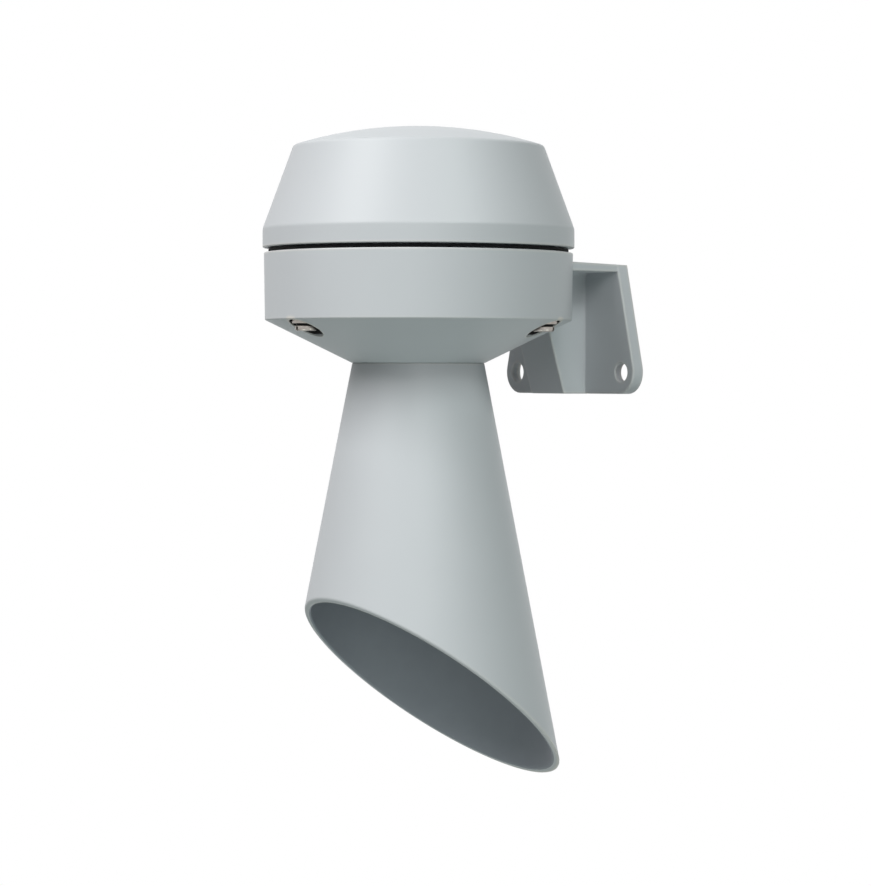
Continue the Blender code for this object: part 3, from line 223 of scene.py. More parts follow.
# Arm: a rounded rectangle drawn at each height.  Its front slopes from the foot up to the
# cone, where it steps back and stands upright inside the band.  Its foot is rounded, its
# top flares by 0.85 mm into the roof, and a flange on each side runs into the plate.
turn = np.linspace(0, np.pi / 2, 6)
flare_z = ROOF_Z + OVERLAP - ARM_FLARE
arm_z = np.concatenate([PLATE_FOOT_Z + ARM_FOOT_EDGE * (1 - np.sin(turn[::-1])),
                        [ARM_LOW_Z, ARM_MIDDLE_Z, ARM_CONE_Z, ARM_BAND_Z, ARM_HIGH_Z],
                        flare_z + ARM_FLARE * np.sin(turn), [ARM_TOP_Z]])
arm_grow = np.zeros_like(arm_z)
arm_grow[:len(turn)] = -ARM_FOOT_EDGE * (1 - np.cos(turn[::-1]))
arm_grow[-len(turn) - 1:-1] = ARM_FLARE * (1 - np.cos(turn))
arm_grow[-1] = ARM_FLARE
arm_front = np.interp(arm_z, [PLATE_FOOT_Z, ARM_CONE_Z, ARM_BAND_Z],
                      [ARM_FOOT_Y, ARM_CONE_Y, ARM_BAND_Y])
arm_front -= np.minimum(arm_grow, 0)
half, flange = ARM_HALF + arm_grow, ARM_HALF + arm_grow + ARM_FLANGE
arm_back, flange_y = np.full_like(arm_z, ARM_BACK_Y), np.full_like(arm_z, PLATE_Y + OVERLAP)
arm_corners = np.stack([np.stack(corner, -1) for corner in (
    (-flange, arm_back), (-flange, flange_y), (-half, flange_y), (-half, arm_front),
    (half, arm_front), (half, flange_y), (flange, flange_y), (flange, arm_back))])
arm_reach = (0, 0, ARM_FLARE, ARM_FRONT_EDGE, ARM_FRONT_EDGE, ARM_FLARE, 0, 0)
arm = surface("arm", carried(rounded(arm_corners, arm_reach).transpose(1, 0, 2), arm_z, "Z"))

# Plate: a trapezoid with round lower corners, flat at the side between two rings; its
# front edge is rounded by moving the outline in, and its back is hollowed so that a rim is
# left against the wall
lean = (PLATE_FOOT_HALF - PLATE_TOP_HALF) / (PLATE_TOP_Z - PLATE_FOOT_Z)


def plate_outline(inset, top_z):
    """Trapezoid with round lower corners, all its sides moved in by an inset."""
    side = inset * np.hypot(1, lean)
    foot_z = PLATE_FOOT_Z + inset
    top = PLATE_TOP_HALF + lean * (PLATE_TOP_Z - top_z) - side
    foot = PLATE_FOOT_HALF - lean * inset - side
    corner = (PLATE_CORNER - inset) * np.tan(np.pi / 4 + np.arctan(lean) / 2)
    return rounded([(-top, top_z), (-foot, foot_z), (foot, foot_z), (top, top_z)],
                   (0.05, corner, corner, 0.05), steps=12, margin=0.02)


edge = 1 - np.cos(turn)
plate_levels = np.concatenate([PLATE_Y + PLATE_EDGE * (1 - np.sin(turn[::-1])), PLATE_SIDE_Y,
                               WALL_Y - PLATE_BACK_EDGE * (1 - np.sin(turn))])
plate_insets = np.concatenate([PLATE_EDGE * edge[::-1], [0, 0], PLATE_BACK_EDGE * edge])
plate_rows = np.stack([plate_outline(inset, PLATE_TOP_Z - inset) for inset in plate_insets])
plate = surface("plate", carried(plate_rows, plate_levels, "Y"))
recess = surface("recess",
                 carried(plate_outline(PLATE_RIM, ROOF_Z), [PLATE_BACK_Y, IN_THE_WALL_Y], "Y"))

# Roof: a flat web, a little higher at the band, with rounded side edges
roof_y = np.array([ROOF_FRONT_Y, ROOF_BACK_Y])
# Its top climbs by the rise over the run, away from the wall
roof_top = PLATE_TOP_Z + ROOF_RISE * (WALL_Y - roof_y) / ROOF_RUN
roof_side, roof_low = np.full(2, PLATE_TOP_HALF), np.full(2, ROOF_Z)
roof_corners = np.stack([np.stack(corner, -1) for corner in (
    (-roof_side, roof_low), (roof_side, roof_low), (roof_side, roof_top), (-roof_side, roof_top))])
roof_rows = rounded(roof_corners, np.full(4, ROOF_EDGE)).transpose(1, 0, 2)
roof = surface("roof", carried(roof_rows, roof_y, "Y"))
roof = moulded(roof, [("DIFFERENCE", housing_core("roof_trim"))])

# Pillars inside the cone, around the screws; then the pockets, the arm's hollow, the bolt
# holes with a small bevel in front, and the cable inlet, all taken away
spots = screw_spots()
pillar_outline = [(0, NECK_Z), (PILLAR_R, NECK_Z), (PILLAR_R, PILLAR_TOP_Z), (0, PILLAR_TOP_Z)]
pocket_outline = [(0, BELOW_Z), (POCKET_R, BELOW_Z), (POCKET_R, POCKET_TOP_Z),
                  (SCREW_HOLE_R, POCKET_TOP_Z), (SCREW_HOLE_R, ABOVE_Z), (0, ABOVE_Z)]
pillars, pockets = [], []
for i, (x, y) in enumerate(spots):
    pillar = surface(f"pillar_{i}", turned(pillar_outline, 64, centre=(x, y, 0)))
    pillars.append(moulded(pillar, [("INTERSECT", housing_core(f"pillar_trim_{i}"))]))
    pockets.append(surface(f"pocket_{i}", turned(pocket_outline, 64, centre=(x, y, 0))))
hollow_outline = rounded([(HOLLOW_FRONT_Y, ROOF_Z), (HOLLOW_FRONT_Y, HOLLOW_KNEE_Z),
                          (HOLLOW_FOOT_Y, HOLLOW_FOOT_Z), (BEHIND_Y, HOLLOW_FOOT_Z),
                          (BEHIND_Y, ROOF_Z)],
                         (0, HOLLOW_EDGE, HOLLOW_EDGE, 0, 0))
hollow = surface("hollow", carried(hollow_outline, [-HOLLOW_HALF, HOLLOW_HALF], "X"))
bolt_outline = [(0, IN_FRONT_Y), (BOLT_R + BOLT_BEVEL, IN_FRONT_Y), (BOLT_R + BOLT_BEVEL, PLATE_Y),
                (BOLT_R, PLATE_Y + BOLT_BEVEL), (BOLT_R, IN_THE_WALL_Y), (0, IN_THE_WALL_Y)]
bolts = [surface(f"bolt_{i}", turned(bolt_outline, 64, "Y", (x, 0, BOLT_Z)))
         for i, x in enumerate((-BOLT_X, BOLT_X))]
inlet_outline = [(0, INLET_FRONT_Y), (INLET_R, INLET_FRONT_Y), (INLET_R, INLET_BACK_Y),
                 (0, INLET_BACK_Y)]
inlet = surface("inlet", turned(inlet_outline, 64, "Y", (0, 0, INLET_Z)))
moulded(lower_housing, [("UNION", added) for added in [arm, plate, roof] + pillars]
        + [("DIFFERENCE", tool) for tool in [hollow, recess, inlet] + bolts + pockets])
smoothed(lower_housing)


def linear(code):
    """sRGB hex colour as linear values: ((s + 0.055) / 1.055) ^ 2.4, or s / 12.92 near black."""
    s = np.array([int(code[i:i + 2], 16) for i in (1, 3, 5)]) / 255
    return (*np.where(s > 0.04045, ((s + 0.055) / 1.055) ** 2.4, s / 12.92), 1.0)


def node(material, kind, sockets, **settings):
    """Add one shader node; sockets gives each input a value or the output that feeds it."""
    made = material.node_tree.nodes.new(kind)
    for key, value in settings.items():
        setattr(made, key, value)
    for key, value in sockets.items():
        if isinstance(value, bpy.types.NodeSocket):
            material.node_tree.links.new(value, made.inputs[key])
        else:
            made.inputs[key].default_value = value
    return made


def material_named(name):
    """Empty node material."""
    made = bpy.data.materials.new(name)
    made.use_nodes = True
    made.node_tree.nodes.clear()
    return made


# Light grey ABS, injection-moulded in a finely spark-eroded tool: an even, slightly cool
# grey with a satin sheen.  The real grain is about 0.05 mm; it is drawn at 0.45 mm, or it
# would vanish in the picture.  Slow drifts of tone are the melt's flow.  Within 1 mm of an
# edge the colour is paler and warmer: a painted highlight for the light that rounded edges catch.
grey_abs = material_named("moulded light grey ABS")
place = node(grey_abs, "ShaderNodeTexCoord", {})
flow = node(grey_abs, "ShaderNodeTexNoise",
            {"Vector": place.outputs["Object"], "Scale": 1 / (28 * MM), "Detail": 2.0})
tone = node(grey_abs, "ShaderNodeMix",
            {0: flow.outputs["Fac"], 6: linear("#c4c7ca"), 7: linear("#c9cccf")}, data_type="RGBA")
grain = node(grey_abs, "ShaderNodeTexNoise",
             {"Vector": place.outputs["Object"], "Scale": 1 / (0.45 * MM), "Detail": 1.0})
# Within 1 mm of an edge the colour turns paler and warmer: a painted highlight along the edges
edges = node(grey_abs, "ShaderNodeAmbientOcclusion", {"Distance": 1.0 * MM}, inside=True,
             only_local=True, samples=6)
edge_glint = node(grey_abs, "ShaderNodeMapRange",
           {"Value": edges.outputs["AO"], "From Min": 0.9, "From Max": 0.45, "To Max": 0.85})
shade = node(grey_abs, "ShaderNodeMix",
             {0: edge_glint.outputs["Result"], 6: tone.outputs[2], 7: linear("#e6e0d8")}, data_type="RGBA")
relief = node(grey_abs, "ShaderNodeBump",
              {"Height": grain.outputs["Fac"], "Strength": 0.035, "Distance": 0.1 * MM})
sheen = node(grey_abs, "ShaderNodeMapRange",
             {"Value": flow.outputs["Fac"], "To Min": 0.45, "To Max": 0.5})
plastic = node(grey_abs, "ShaderNodeBsdfPrincipled", {
    "Base Color": shade.outputs[2], "Roughness": sheen.outputs["Result"], "IOR": 1.53,
    "Specular IOR Level": 0.38, "Normal": relief.outputs["Normal"]})
node(grey_abs, "ShaderNodeOutputMaterial", {"Surface": plastic.outputs[0]})


def finished(piece, material, body, slot, *nodes):
    """Give a new piece its material, the body that it rides on and the nodes it stands for."""
    piece.data.materials.clear()
    piece.data.materials.append(material)
    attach(piece, body)
    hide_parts(*nodes)


finished(lower_housing, grey_abs, "housing_body", "grey_plastic", "lower_housing")

# ---------------------------------------------------------------------------------------
# Sound horn.  Straight cone of the same grey ABS with an even 2 mm wall, cut off on a
# slant so that the mouth looks forward and down.  Its spigot goes up through the
# housing's floor; a clean step shows where it enters.
# ---------------------------------------------------------------------------------------

# Radius of the outer cone at a height just under the neck, and how much it grows per mm;
# the wall is 2 mm measured square to the cone, 2.037 mm measured level
HORN_TOP_R, HORN_TOP_Z, HORN_TAPER, HORN_WALL = 19.3, -12.7, 0.19293, 2.037
SHOULDER_Z, SPIGOT_R, SPIGOT_TOP_Z, BORE_R, WEB_Z = -12.42, 13.0, -4.2, 10.8, -14.9
MOUTH_Z, MOUTH_TILT = -103.85, np.radians(36.2)

angle = np.linspace(0, 2 * np.pi, 256, endpoint=False)


def cone_radius(z, inset=0.0):
    """Radius of the horn's cone, moved in by an inset: top radius + taper * (top - z)."""
    return HORN_TOP_R - inset + HORN_TAPER * (HORN_TOP_Z - z)


def cut_height(top_r):
    """Height at which a wall of radius top_r + taper (top - z) meets the slanted mouth plane,
    y sin(tilt) + (z - mouth) cos(tilt) = 0, solved for z at each angle."""
    s, c = np.sin(MOUTH_TILT) * np.sin(angle), np.cos(MOUTH_TILT)
    return (MOUTH_Z * c - (top_r + HORN_TAPER * HORN_TOP_Z) * s) / (c - HORN_TAPER * s)


def ring_at(r, z):
    """One ring of the horn at a radius and height, each a number or one value per angle."""
    r, z = r * np.ones_like(angle), z * np.ones_like(angle)
    return np.stack([r * np.cos(angle), r * np.sin(angle), z], -1)


outer_z, inner_z = cut_height(HORN_TOP_R), cut_height(HORN_TOP_R - HORN_WALL)
horn_corners = np.stack([
    ring_at(cone_radius(outer_z), outer_z), ring_at(cone_radius(SHOULDER_Z), SHOULDER_Z),
    ring_at(SPIGOT_R, SHOULDER_Z), ring_at(SPIGOT_R, SPIGOT_TOP_Z),
    ring_at(BORE_R, SPIGOT_TOP_Z), ring_at(BORE_R, WEB_Z),
    ring_at(cone_radius(WEB_Z, HORN_WALL), WEB_Z),
    ring_at(cone_radius(inner_z, HORN_WALL), inner_z)])
horn_reach = (0.7, 0.3, 0.15, 0.4, 0.4, 0.5, 0.8, 0.7)
sound_horn = surface("visual_sound_horn", rounded(horn_corners, horn_reach), joined=True)
smoothed(sound_horn)
finished(sound_horn, grey_abs, "housing_body", "grey_plastic", "sound_horn")

# The same ABS in the bore, moulded on a rough core that nobody polishes, so it is duller;
# its colour is darker as painted shade for the deep inside of the horn, with a faint mottle of
# about 5 mm.
shaded_bore_abs = material_named("moulded grey ABS of the bore, with painted shade")
place = node(shaded_bore_abs, "ShaderNodeTexCoord", {})
mottle = node(shaded_bore_abs, "ShaderNodeTexNoise",
              {"Vector": place.outputs["Object"], "Scale": 1 / (5 * MM), "Detail": 3.0})
# Darker grey than the outside: painted shade for the inside of the horn
tone = node(shaded_bore_abs, "ShaderNodeMix",
            {0: mottle.outputs["Fac"], 6: linear("#91949c"), 7: linear("#999ca4")},
            data_type="RGBA")
grain = node(shaded_bore_abs, "ShaderNodeTexNoise",
             {"Vector": place.outputs["Object"], "Scale": 1 / (0.6 * MM), "Detail": 2.0})
relief = node(shaded_bore_abs, "ShaderNodeBump",
              {"Height": grain.outputs["Fac"], "Strength": 0.06, "Distance": 0.1 * MM})
plastic = node(shaded_bore_abs, "ShaderNodeBsdfPrincipled", {
    "Base Color": tone.outputs[2], "Roughness": 0.6, "IOR": 1.5, "Specular IOR Level": 0.35,
    "Normal": relief.outputs["Normal"]})
node(shaded_bore_abs, "ShaderNodeOutputMaterial", {"Surface": plastic.outputs[0]})
sound_horn.data.materials.append(shaded_bore_abs)

# A face lies in the bore where its middle is below the web's corner and over 1.5 mm inside
# the outer cone, so that the mouth's rounded rim stays without the painted shade
BORE_DEPTH, WEB_CORNER = 1.5, 0.5
middles = np.empty(len(sound_horn.data.polygons) * 3)
sound_horn.data.polygons.foreach_get("center", middles)
middles = middles.reshape(-1, 3) / MM - HOUSING_PLACE
in_bore = ((np.hypot(middles[:, 0], middles[:, 1]) < cone_radius(middles[:, 2], BORE_DEPTH))
           & (middles[:, 2] < WEB_Z + WEB_CORNER))
sound_horn.data.polygons.foreach_set("material_index", in_bore.astype(np.int32))

# ---------------------------------------------------------------------------------------
# Ring nut.  Notched ring of black glass-filled nylon, screwed on the horn's spigot from
# inside, which clamps the horn to the housing's floor.
# ---------------------------------------------------------------------------------------


def dressed(material, *nodes):
    """Give parts that stay as they are their finish, in their own material slots."""
    for name in nodes:
        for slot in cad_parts[name].material_slots:
            slot.material = material


# Black nylon with short glass fibres, injection-moulded: satin black, slightly mottled
# where fibres lie near the skin.  Their 0.2 mm speckle is drawn at 0.5 mm.
black_nylon = material_named("moulded black glass-filled nylon")
place = node(black_nylon, "ShaderNodeTexCoord", {})
fibres = node(black_nylon, "ShaderNodeTexNoise",
              {"Vector": place.outputs["Object"], "Scale": 1 / (0.5 * MM), "Detail": 4.0})
tone = node(black_nylon, "ShaderNodeMix",
            {0: fibres.outputs["Fac"], 6: linear("#373739"), 7: linear("#454547")},
            data_type="RGBA")
relief = node(black_nylon, "ShaderNodeBump",
              {"Height": fibres.outputs["Fac"], "Strength": 0.12, "Distance": 0.1 * MM})
nylon = node(black_nylon, "ShaderNodeBsdfPrincipled", {
    "Base Color": tone.outputs[2], "Roughness": 0.5, "IOR": 1.53,
    "Normal": relief.outputs["Normal"]})
node(black_nylon, "ShaderNodeOutputMaterial", {"Surface": nylon.outputs[0]})
dressed(black_nylon, "horn_ring_nut")

# ---------------------------------------------------------------------------------------
# Cable grommet.  Moulded black EPDM rubber ring with a lip on both sides, pressed into
# the inlet at the rear of the band, inside the hollow arm.
# ---------------------------------------------------------------------------------------

# Black EPDM, compression moulded: dead matt and nearly black, mottled by a dusty bloom.
# The 0.3 mm mottling is drawn at 0.8 mm.
black_rubber = material_named("moulded black EPDM rubber")
place = node(black_rubber, "ShaderNodeTexCoord", {})
bloom = node(black_rubber, "ShaderNodeTexNoise",
             {"Vector": place.outputs["Object"], "Scale": 1 / (0.8 * MM), "Detail": 3.0})
tone = node(black_rubber, "ShaderNodeMix",
            {0: bloom.outputs["Fac"], 6: linear("#121213"), 7: linear("#1b1b1c")}, data_type="RGBA")
relief = node(black_rubber, "ShaderNodeBump",
              {"Height": bloom.outputs["Fac"], "Strength": 0.1, "Distance": 0.1 * MM})
rubber = node(black_rubber, "ShaderNodeBsdfPrincipled", {
    "Base Color": tone.outputs[2], "Roughness": 0.8, "IOR": 1.5, "Specular IOR Level": 0.2,
    "Normal": relief.outputs["Normal"]})
node(black_rubber, "ShaderNodeOutputMaterial", {"Surface": rubber.outputs[0]})

GROMMET_HOLE_R, GROMMET_NECK_R, GROMMET_LIP_R, LIP = 3.0, 4.2, 5.7, 1.4
GROMMET_FRONT_Y, GROMMET_BACK_Y = 40.416, 47.9
grommet_outline = [
    (GROMMET_HOLE_R, GROMMET_FRONT_Y), (GROMMET_LIP_R, GROMMET_FRONT_Y),
    (GROMMET_LIP_R, GROMMET_FRONT_Y + LIP), (GROMMET_NECK_R, GROMMET_FRONT_Y + LIP),
    (GROMMET_NECK_R, GROMMET_BACK_Y - LIP), (GROMMET_LIP_R, GROMMET_BACK_Y - LIP),
    (GROMMET_LIP_R, GROMMET_BACK_Y), (GROMMET_HOLE_R, GROMMET_BACK_Y)]
grommet_rings = rounded(grommet_outline, (0.4, 0.5, 0.4, 0.2, 0.2, 0.4, 0.5, 0.4))
grommet = surface("visual_cable_grommet", turned(grommet_rings, 96, "Y", (0, 0, INLET_Z)),
                  joined=True)
smoothed(grommet)
finished(grommet, black_rubber, "housing_body", "black_rubber", "cable_grommet")

# ---------------------------------------------------------------------------------------
# Diaphragm set.  A thin spring steel sheet between two rubber gaskets, with the soft iron
# armature screwed to its middle; a current in the coil above pulls it, twice per cycle.
# ---------------------------------------------------------------------------------------

# Cold-rolled spring steel: bright grey, with faint lines along the rolling direction,
# 0.1 mm apart in the strip and drawn at 0.4 mm.
spring_steel = material_named("cold-rolled spring steel")
place = node(spring_steel, "ShaderNodeTexCoord", {})
along = node(spring_steel, "ShaderNodeMapping",
             {"Vector": place.outputs["Object"], "Scale": (1.0, 0.03, 1.0)})
rolling = node(spring_steel, "ShaderNodeTexNoise",
               {"Vector": along.outputs["Vector"], "Scale": 1 / (0.4 * MM), "Detail": 3.0})
tone = node(spring_steel, "ShaderNodeMix",
            {0: rolling.outputs["Fac"], 6: linear("#adaeb1"), 7: linear("#b9babd")},
            data_type="RGBA")
polish = node(spring_steel, "ShaderNodeMapRange",
              {"Value": rolling.outputs["Fac"], "To Min": 0.2, "To Max": 0.34})
steel = node(spring_steel, "ShaderNodeBsdfPrincipled", {
    "Base Color": tone.outputs[2], "Metallic": 1.0, "Roughness": polish.outputs["Result"]})
node(spring_steel, "ShaderNodeOutputMaterial", {"Surface": steel.outputs[0]})

# Soft magnet iron, turned or punched, then passivated: dull mid grey with a faint
# yellowish cloud of the passive layer, a few millimetres across.
soft_iron = material_named("passivated soft iron")
place = node(soft_iron, "ShaderNodeTexCoord", {})
cloud = node(soft_iron, "ShaderNodeTexNoise",
             {"Vector": place.outputs["Object"], "Scale": 1 / (5 * MM), "Detail": 4.0})
tone = node(soft_iron, "ShaderNodeMix",
            {0: cloud.outputs["Fac"], 6: linear("#a09f9c"), 7: linear("#a8a594")}, data_type="RGBA")
polish = node(soft_iron, "ShaderNodeMapRange",
              {"Value": cloud.outputs["Fac"], "To Min": 0.42, "To Max": 0.58})
iron = node(soft_iron, "ShaderNodeBsdfPrincipled", {
    "Base Color": tone.outputs[2], "Metallic": 1.0, "Roughness": polish.outputs["Result"]})
node(soft_iron, "ShaderNodeOutputMaterial", {"Surface": iron.outputs[0]})

# Zinc-plated steel, bright dipped: light neutral metal with a faint warm tint, its
# sharpness changing over a millimetre or so as plating does.
zinc_steel = material_named("bright zinc-plated steel")
place = node(zinc_steel, "ShaderNodeTexCoord", {})
plating = node(zinc_steel, "ShaderNodeTexNoise",
               {"Vector": place.outputs["Object"], "Scale": 1 / (1.2 * MM), "Detail": 2.0})
tone = node(zinc_steel, "ShaderNodeMix",
            {0: plating.outputs["Fac"], 6: linear("#c9c5bf"), 7: linear("#d8d5d0")},
            data_type="RGBA")
polish = node(zinc_steel, "ShaderNodeMapRange",
              {"Value": plating.outputs["Fac"], "To Min": 0.22, "To Max": 0.38})
steel = node(zinc_steel, "ShaderNodeBsdfPrincipled", {
    "Base Color": tone.outputs[2], "Metallic": 1.0, "Roughness": polish.outputs["Result"]})
node(zinc_steel, "ShaderNodeOutputMaterial", {"Surface": steel.outputs[0]})

dressed(black_rubber, "lower_gasket", "upper_gasket")
dressed(spring_steel, "diaphragm")
dressed(soft_iron, "armature")
dressed(zinc_steel, "armature_screw")

# ---------------------------------------------------------------------------------------
# Driver frame.  Die-cast aluminium plate that clamps the diaphragm to the housing's seat
# with four screws and carries the magnet.
# ---------------------------------------------------------------------------------------

# Aluminium, pressure die-cast and left as cast: dull grey with flow clouds and a fine
# orange-peel relief of about 1 mm.
cast_aluminium = material_named("die-cast aluminium")
place = node(cast_aluminium, "ShaderNodeTexCoord", {})
clouds = node(cast_aluminium, "ShaderNodeTexNoise",
              {"Vector": place.outputs["Object"], "Scale": 1 / (6 * MM), "Detail": 3.0})
peel = node(cast_aluminium, "ShaderNodeTexNoise",
            {"Vector": place.outputs["Object"], "Scale": 1 / (1.0 * MM), "Detail": 2.0})
tone = node(cast_aluminium, "ShaderNodeMix",
            {0: clouds.outputs["Fac"], 6: linear("#b8b9bb"), 7: linear("#c4c5c8")},
            data_type="RGBA")
polish = node(cast_aluminium, "ShaderNodeMapRange",
              {"Value": clouds.outputs["Fac"], "To Min": 0.48, "To Max": 0.62})
relief = node(cast_aluminium, "ShaderNodeBump",
              {"Height": peel.outputs["Fac"], "Strength": 0.25, "Distance": 0.1 * MM})
metal = node(cast_aluminium, "ShaderNodeBsdfPrincipled", {
    "Base Color": tone.outputs[2], "Metallic": 1.0, "Roughness": polish.outputs["Result"],
    "Normal": relief.outputs["Normal"]})
node(cast_aluminium, "ShaderNodeOutputMaterial", {"Surface": metal.outputs[0]})
dressed(cast_aluminium, "driver_frame")
dressed(zinc_steel, *(f"frame_screw_{i}" for i in range(1, 5)))

# ---------------------------------------------------------------------------------------
# Electromagnet.  Soft iron core and bent yoke around a nylon bobbin; the core's threaded
# stem and lock nut set the air gap over the armature.
# ---------------------------------------------------------------------------------------

WINDING_R, WINDING_BORE_R, WINDING_Z, WINDING_TOP, WIRE = 14.0, 7.9, 9.6, 22.0, 0.4

# Natural nylon, injection-moulded: milky ivory that lets a little light in, satin, with
# faint flow marks several millimetres long.
natural_nylon = material_named("moulded natural nylon")
place = node(natural_nylon, "ShaderNodeTexCoord", {})
flow = node(natural_nylon, "ShaderNodeTexNoise",
            {"Vector": place.outputs["Object"], "Scale": 1 / (7 * MM), "Detail": 2.0})
tone = node(natural_nylon, "ShaderNodeMix",
            {0: flow.outputs["Fac"], 6: linear("#dcd8c9"), 7: linear("#e2dfd2")}, data_type="RGBA")
nylon = node(natural_nylon, "ShaderNodeBsdfPrincipled", {
    "Base Color": tone.outputs[2], "Roughness": 0.42, "IOR": 1.53, "Subsurface Weight": 0.15,
    "Subsurface Radius": (1.0 * MM, 0.8 * MM, 0.6 * MM), "Subsurface Scale": 1.0})
node(natural_nylon, "ShaderNodeOutputMaterial", {"Surface": nylon.outputs[0]})
dressed(natural_nylon, "coil_bobbin")

# Enamelled copper wire, 0.4 mm thick, wound turn by turn: red-brown metal under a clear
# lacquer, so it has a soft metal glow and a sharp coat on top.
copper_wire = material_named("enamelled copper wire")
place = node(copper_wire, "ShaderNodeTexCoord", {})
cloud = node(copper_wire, "ShaderNodeTexNoise",
             {"Vector": place.outputs["Object"], "Scale": 1 / (3 * MM), "Detail": 2.0})
tone = node(copper_wire, "ShaderNodeMix",
            {0: cloud.outputs["Fac"], 6: linear("#b3643c"), 7: linear("#c57a4e")}, data_type="RGBA")
copper = node(copper_wire, "ShaderNodeBsdfPrincipled", {
    "Base Color": tone.outputs[2], "Metallic": 1.0, "Roughness": 0.32, "Coat Weight": 0.6,
    "Coat Roughness": 0.12})
node(copper_wire, "ShaderNodeOutputMaterial", {"Surface": copper.outputs[0]})

# Outer face of the winding: one bulge for each turn, r = outer radius - half the wire's
# width * (1 - |sin|^0.6), at seven points a turn; the power makes the bulge about round
POINTS_A_TURN, FULLNESS = 7, 0.6
turns = int((WINDING_TOP - WINDING_Z) / WIRE)
climb = np.linspace(0, turns, POINTS_A_TURN * turns + 1)
bulge_r = WINDING_R - WIRE / 2 + WIRE / 2 * np.abs(np.sin(np.pi * climb)) ** FULLNESS
wound = np.stack([bulge_r, WINDING_Z + climb * (WINDING_TOP - WINDING_Z) / turns], -1)
winding_ends = [(WINDING_BORE_R, WINDING_TOP), (WINDING_BORE_R, WINDING_Z)]
winding_outline = np.concatenate([wound, winding_ends])
winding = surface("visual_coil_winding", turned(winding_outline, 96), joined=True)
smoothed(winding, 50.0)
finished(winding, copper_wire, "housing_body", "copper_winding", "coil_winding")

# Turned brass, left bright: warm yellow with slight tarnish clouds of about 4 mm.
brass = material_named("turned brass")
place = node(brass, "ShaderNodeTexCoord", {})
tarnish = node(brass, "ShaderNodeTexNoise",
               {"Vector": place.outputs["Object"], "Scale": 1 / (4 * MM), "Detail": 3.0})
tone = node(brass, "ShaderNodeMix",
            {0: tarnish.outputs["Fac"], 6: linear("#d6b271"), 7: linear("#e0c389")},
            data_type="RGBA")
polish = node(brass, "ShaderNodeMapRange",
              {"Value": tarnish.outputs["Fac"], "To Min": 0.26, "To Max": 0.42})
metal = node(brass, "ShaderNodeBsdfPrincipled", {
    "Base Color": tone.outputs[2], "Metallic": 1.0, "Roughness": polish.outputs["Result"]})
node(brass, "ShaderNodeOutputMaterial", {"Surface": metal.outputs[0]})

dressed(brass, "coil_pin_1", "coil_pin_2")
dressed(soft_iron, "magnet_core", "magnet_yoke")
dressed(zinc_steel, "core_nut", "yoke_screw_1", "yoke_screw_2")

# ---------------------------------------------------------------------------------------
# Circuit board.  Round glass-epoxy board with one straight edge, on three hexagonal brass
# pillars; it chops the supply for the coil and takes the mains wires in a terminal block.
# ---------------------------------------------------------------------------------------

# Glass-epoxy board under green solder resist: the cloth shows faintly through the
# resist, its threads 0.5 mm apart, and the resist is glossy.
green_board = material_named("glass-epoxy board with green solder resist")
place = node(green_board, "ShaderNodeTexCoord", {})
cloth = node(green_board, "ShaderNodeTexChecker",
             {"Vector": place.outputs["Object"], "Scale": 1 / (0.5 * MM),
              "Color1": linear("#3a7c4e"), "Color2": linear("#35744a")})
relief = node(green_board, "ShaderNodeBump",
              {"Height": cloth.outputs["Fac"], "Strength": 0.05, "Distance": 0.05 * MM})
resist = node(green_board, "ShaderNodeBsdfPrincipled", {
    "Base Color": cloth.outputs["Color"], "Roughness": 0.28, "IOR": 1.55, "Coat Weight": 0.4,
    "Coat Roughness": 0.15, "Normal": relief.outputs["Normal"]})
node(green_board, "ShaderNodeOutputMaterial", {"Surface": resist.outputs[0]})
dressed(green_board, "circuit_board")
dressed(brass, *(f"board_pillar_{i}" for i in range(1, 4)))
dressed(zinc_steel, *(f"board_screw_{i}" for i in range(1, 4)))

# Green polyamide of the terminal block, injection-moulded: satin, even, with a faint
# mottle of 2 mm.
green_nylon = material_named("moulded green polyamide")
place = node(green_nylon, "ShaderNodeTexCoord", {})
mottle = node(green_nylon, "ShaderNodeTexNoise",
              {"Vector": place.outputs["Object"], "Scale": 1 / (2 * MM), "Detail": 2.0})
tone = node(green_nylon, "ShaderNodeMix",
            {0: mottle.outputs["Fac"], 6: linear("#56976c"), 7: linear("#5fa074")},
            data_type="RGBA")
nylon = node(green_nylon, "ShaderNodeBsdfPrincipled",
             {"Base Color": tone.outputs[2], "Roughness": 0.45, "IOR": 1.53})
node(green_nylon, "ShaderNodeOutputMaterial", {"Surface": nylon.outputs[0]})
dressed(green_nylon, "terminal_block")
dressed(zinc_steel, *(f"terminal_screw_{i}" for i in range(1, 4)))

# Blue PVC sleeve, shrunk on the capacitor's can: glossy, slightly wavy.
blue_sleeve = material_named("blue shrink sleeve")
place = node(blue_sleeve, "ShaderNodeTexCoord", {})
wave = node(blue_sleeve, "ShaderNodeTexNoise",
            {"Vector": place.outputs["Object"], "Scale": 1 / (3 * MM), "Detail": 1.0})
tone = node(blue_sleeve, "ShaderNodeMix",
            {0: wave.outputs["Fac"], 6: linear("#3b4a78"), 7: linear("#42527f")}, data_type="RGBA")
relief = node(blue_sleeve, "ShaderNodeBump",
              {"Height": wave.outputs["Fac"], "Strength": 0.15, "Distance": 0.2 * MM})
film = node(blue_sleeve, "ShaderNodeBsdfPrincipled", {
    "Base Color": tone.outputs[2], "Roughness": 0.25, "IOR": 1.54,
    "Normal": relief.outputs["Normal"]})
node(blue_sleeve, "ShaderNodeOutputMaterial", {"Surface": film.outputs[0]})
dressed(blue_sleeve, "filter_capacitor")

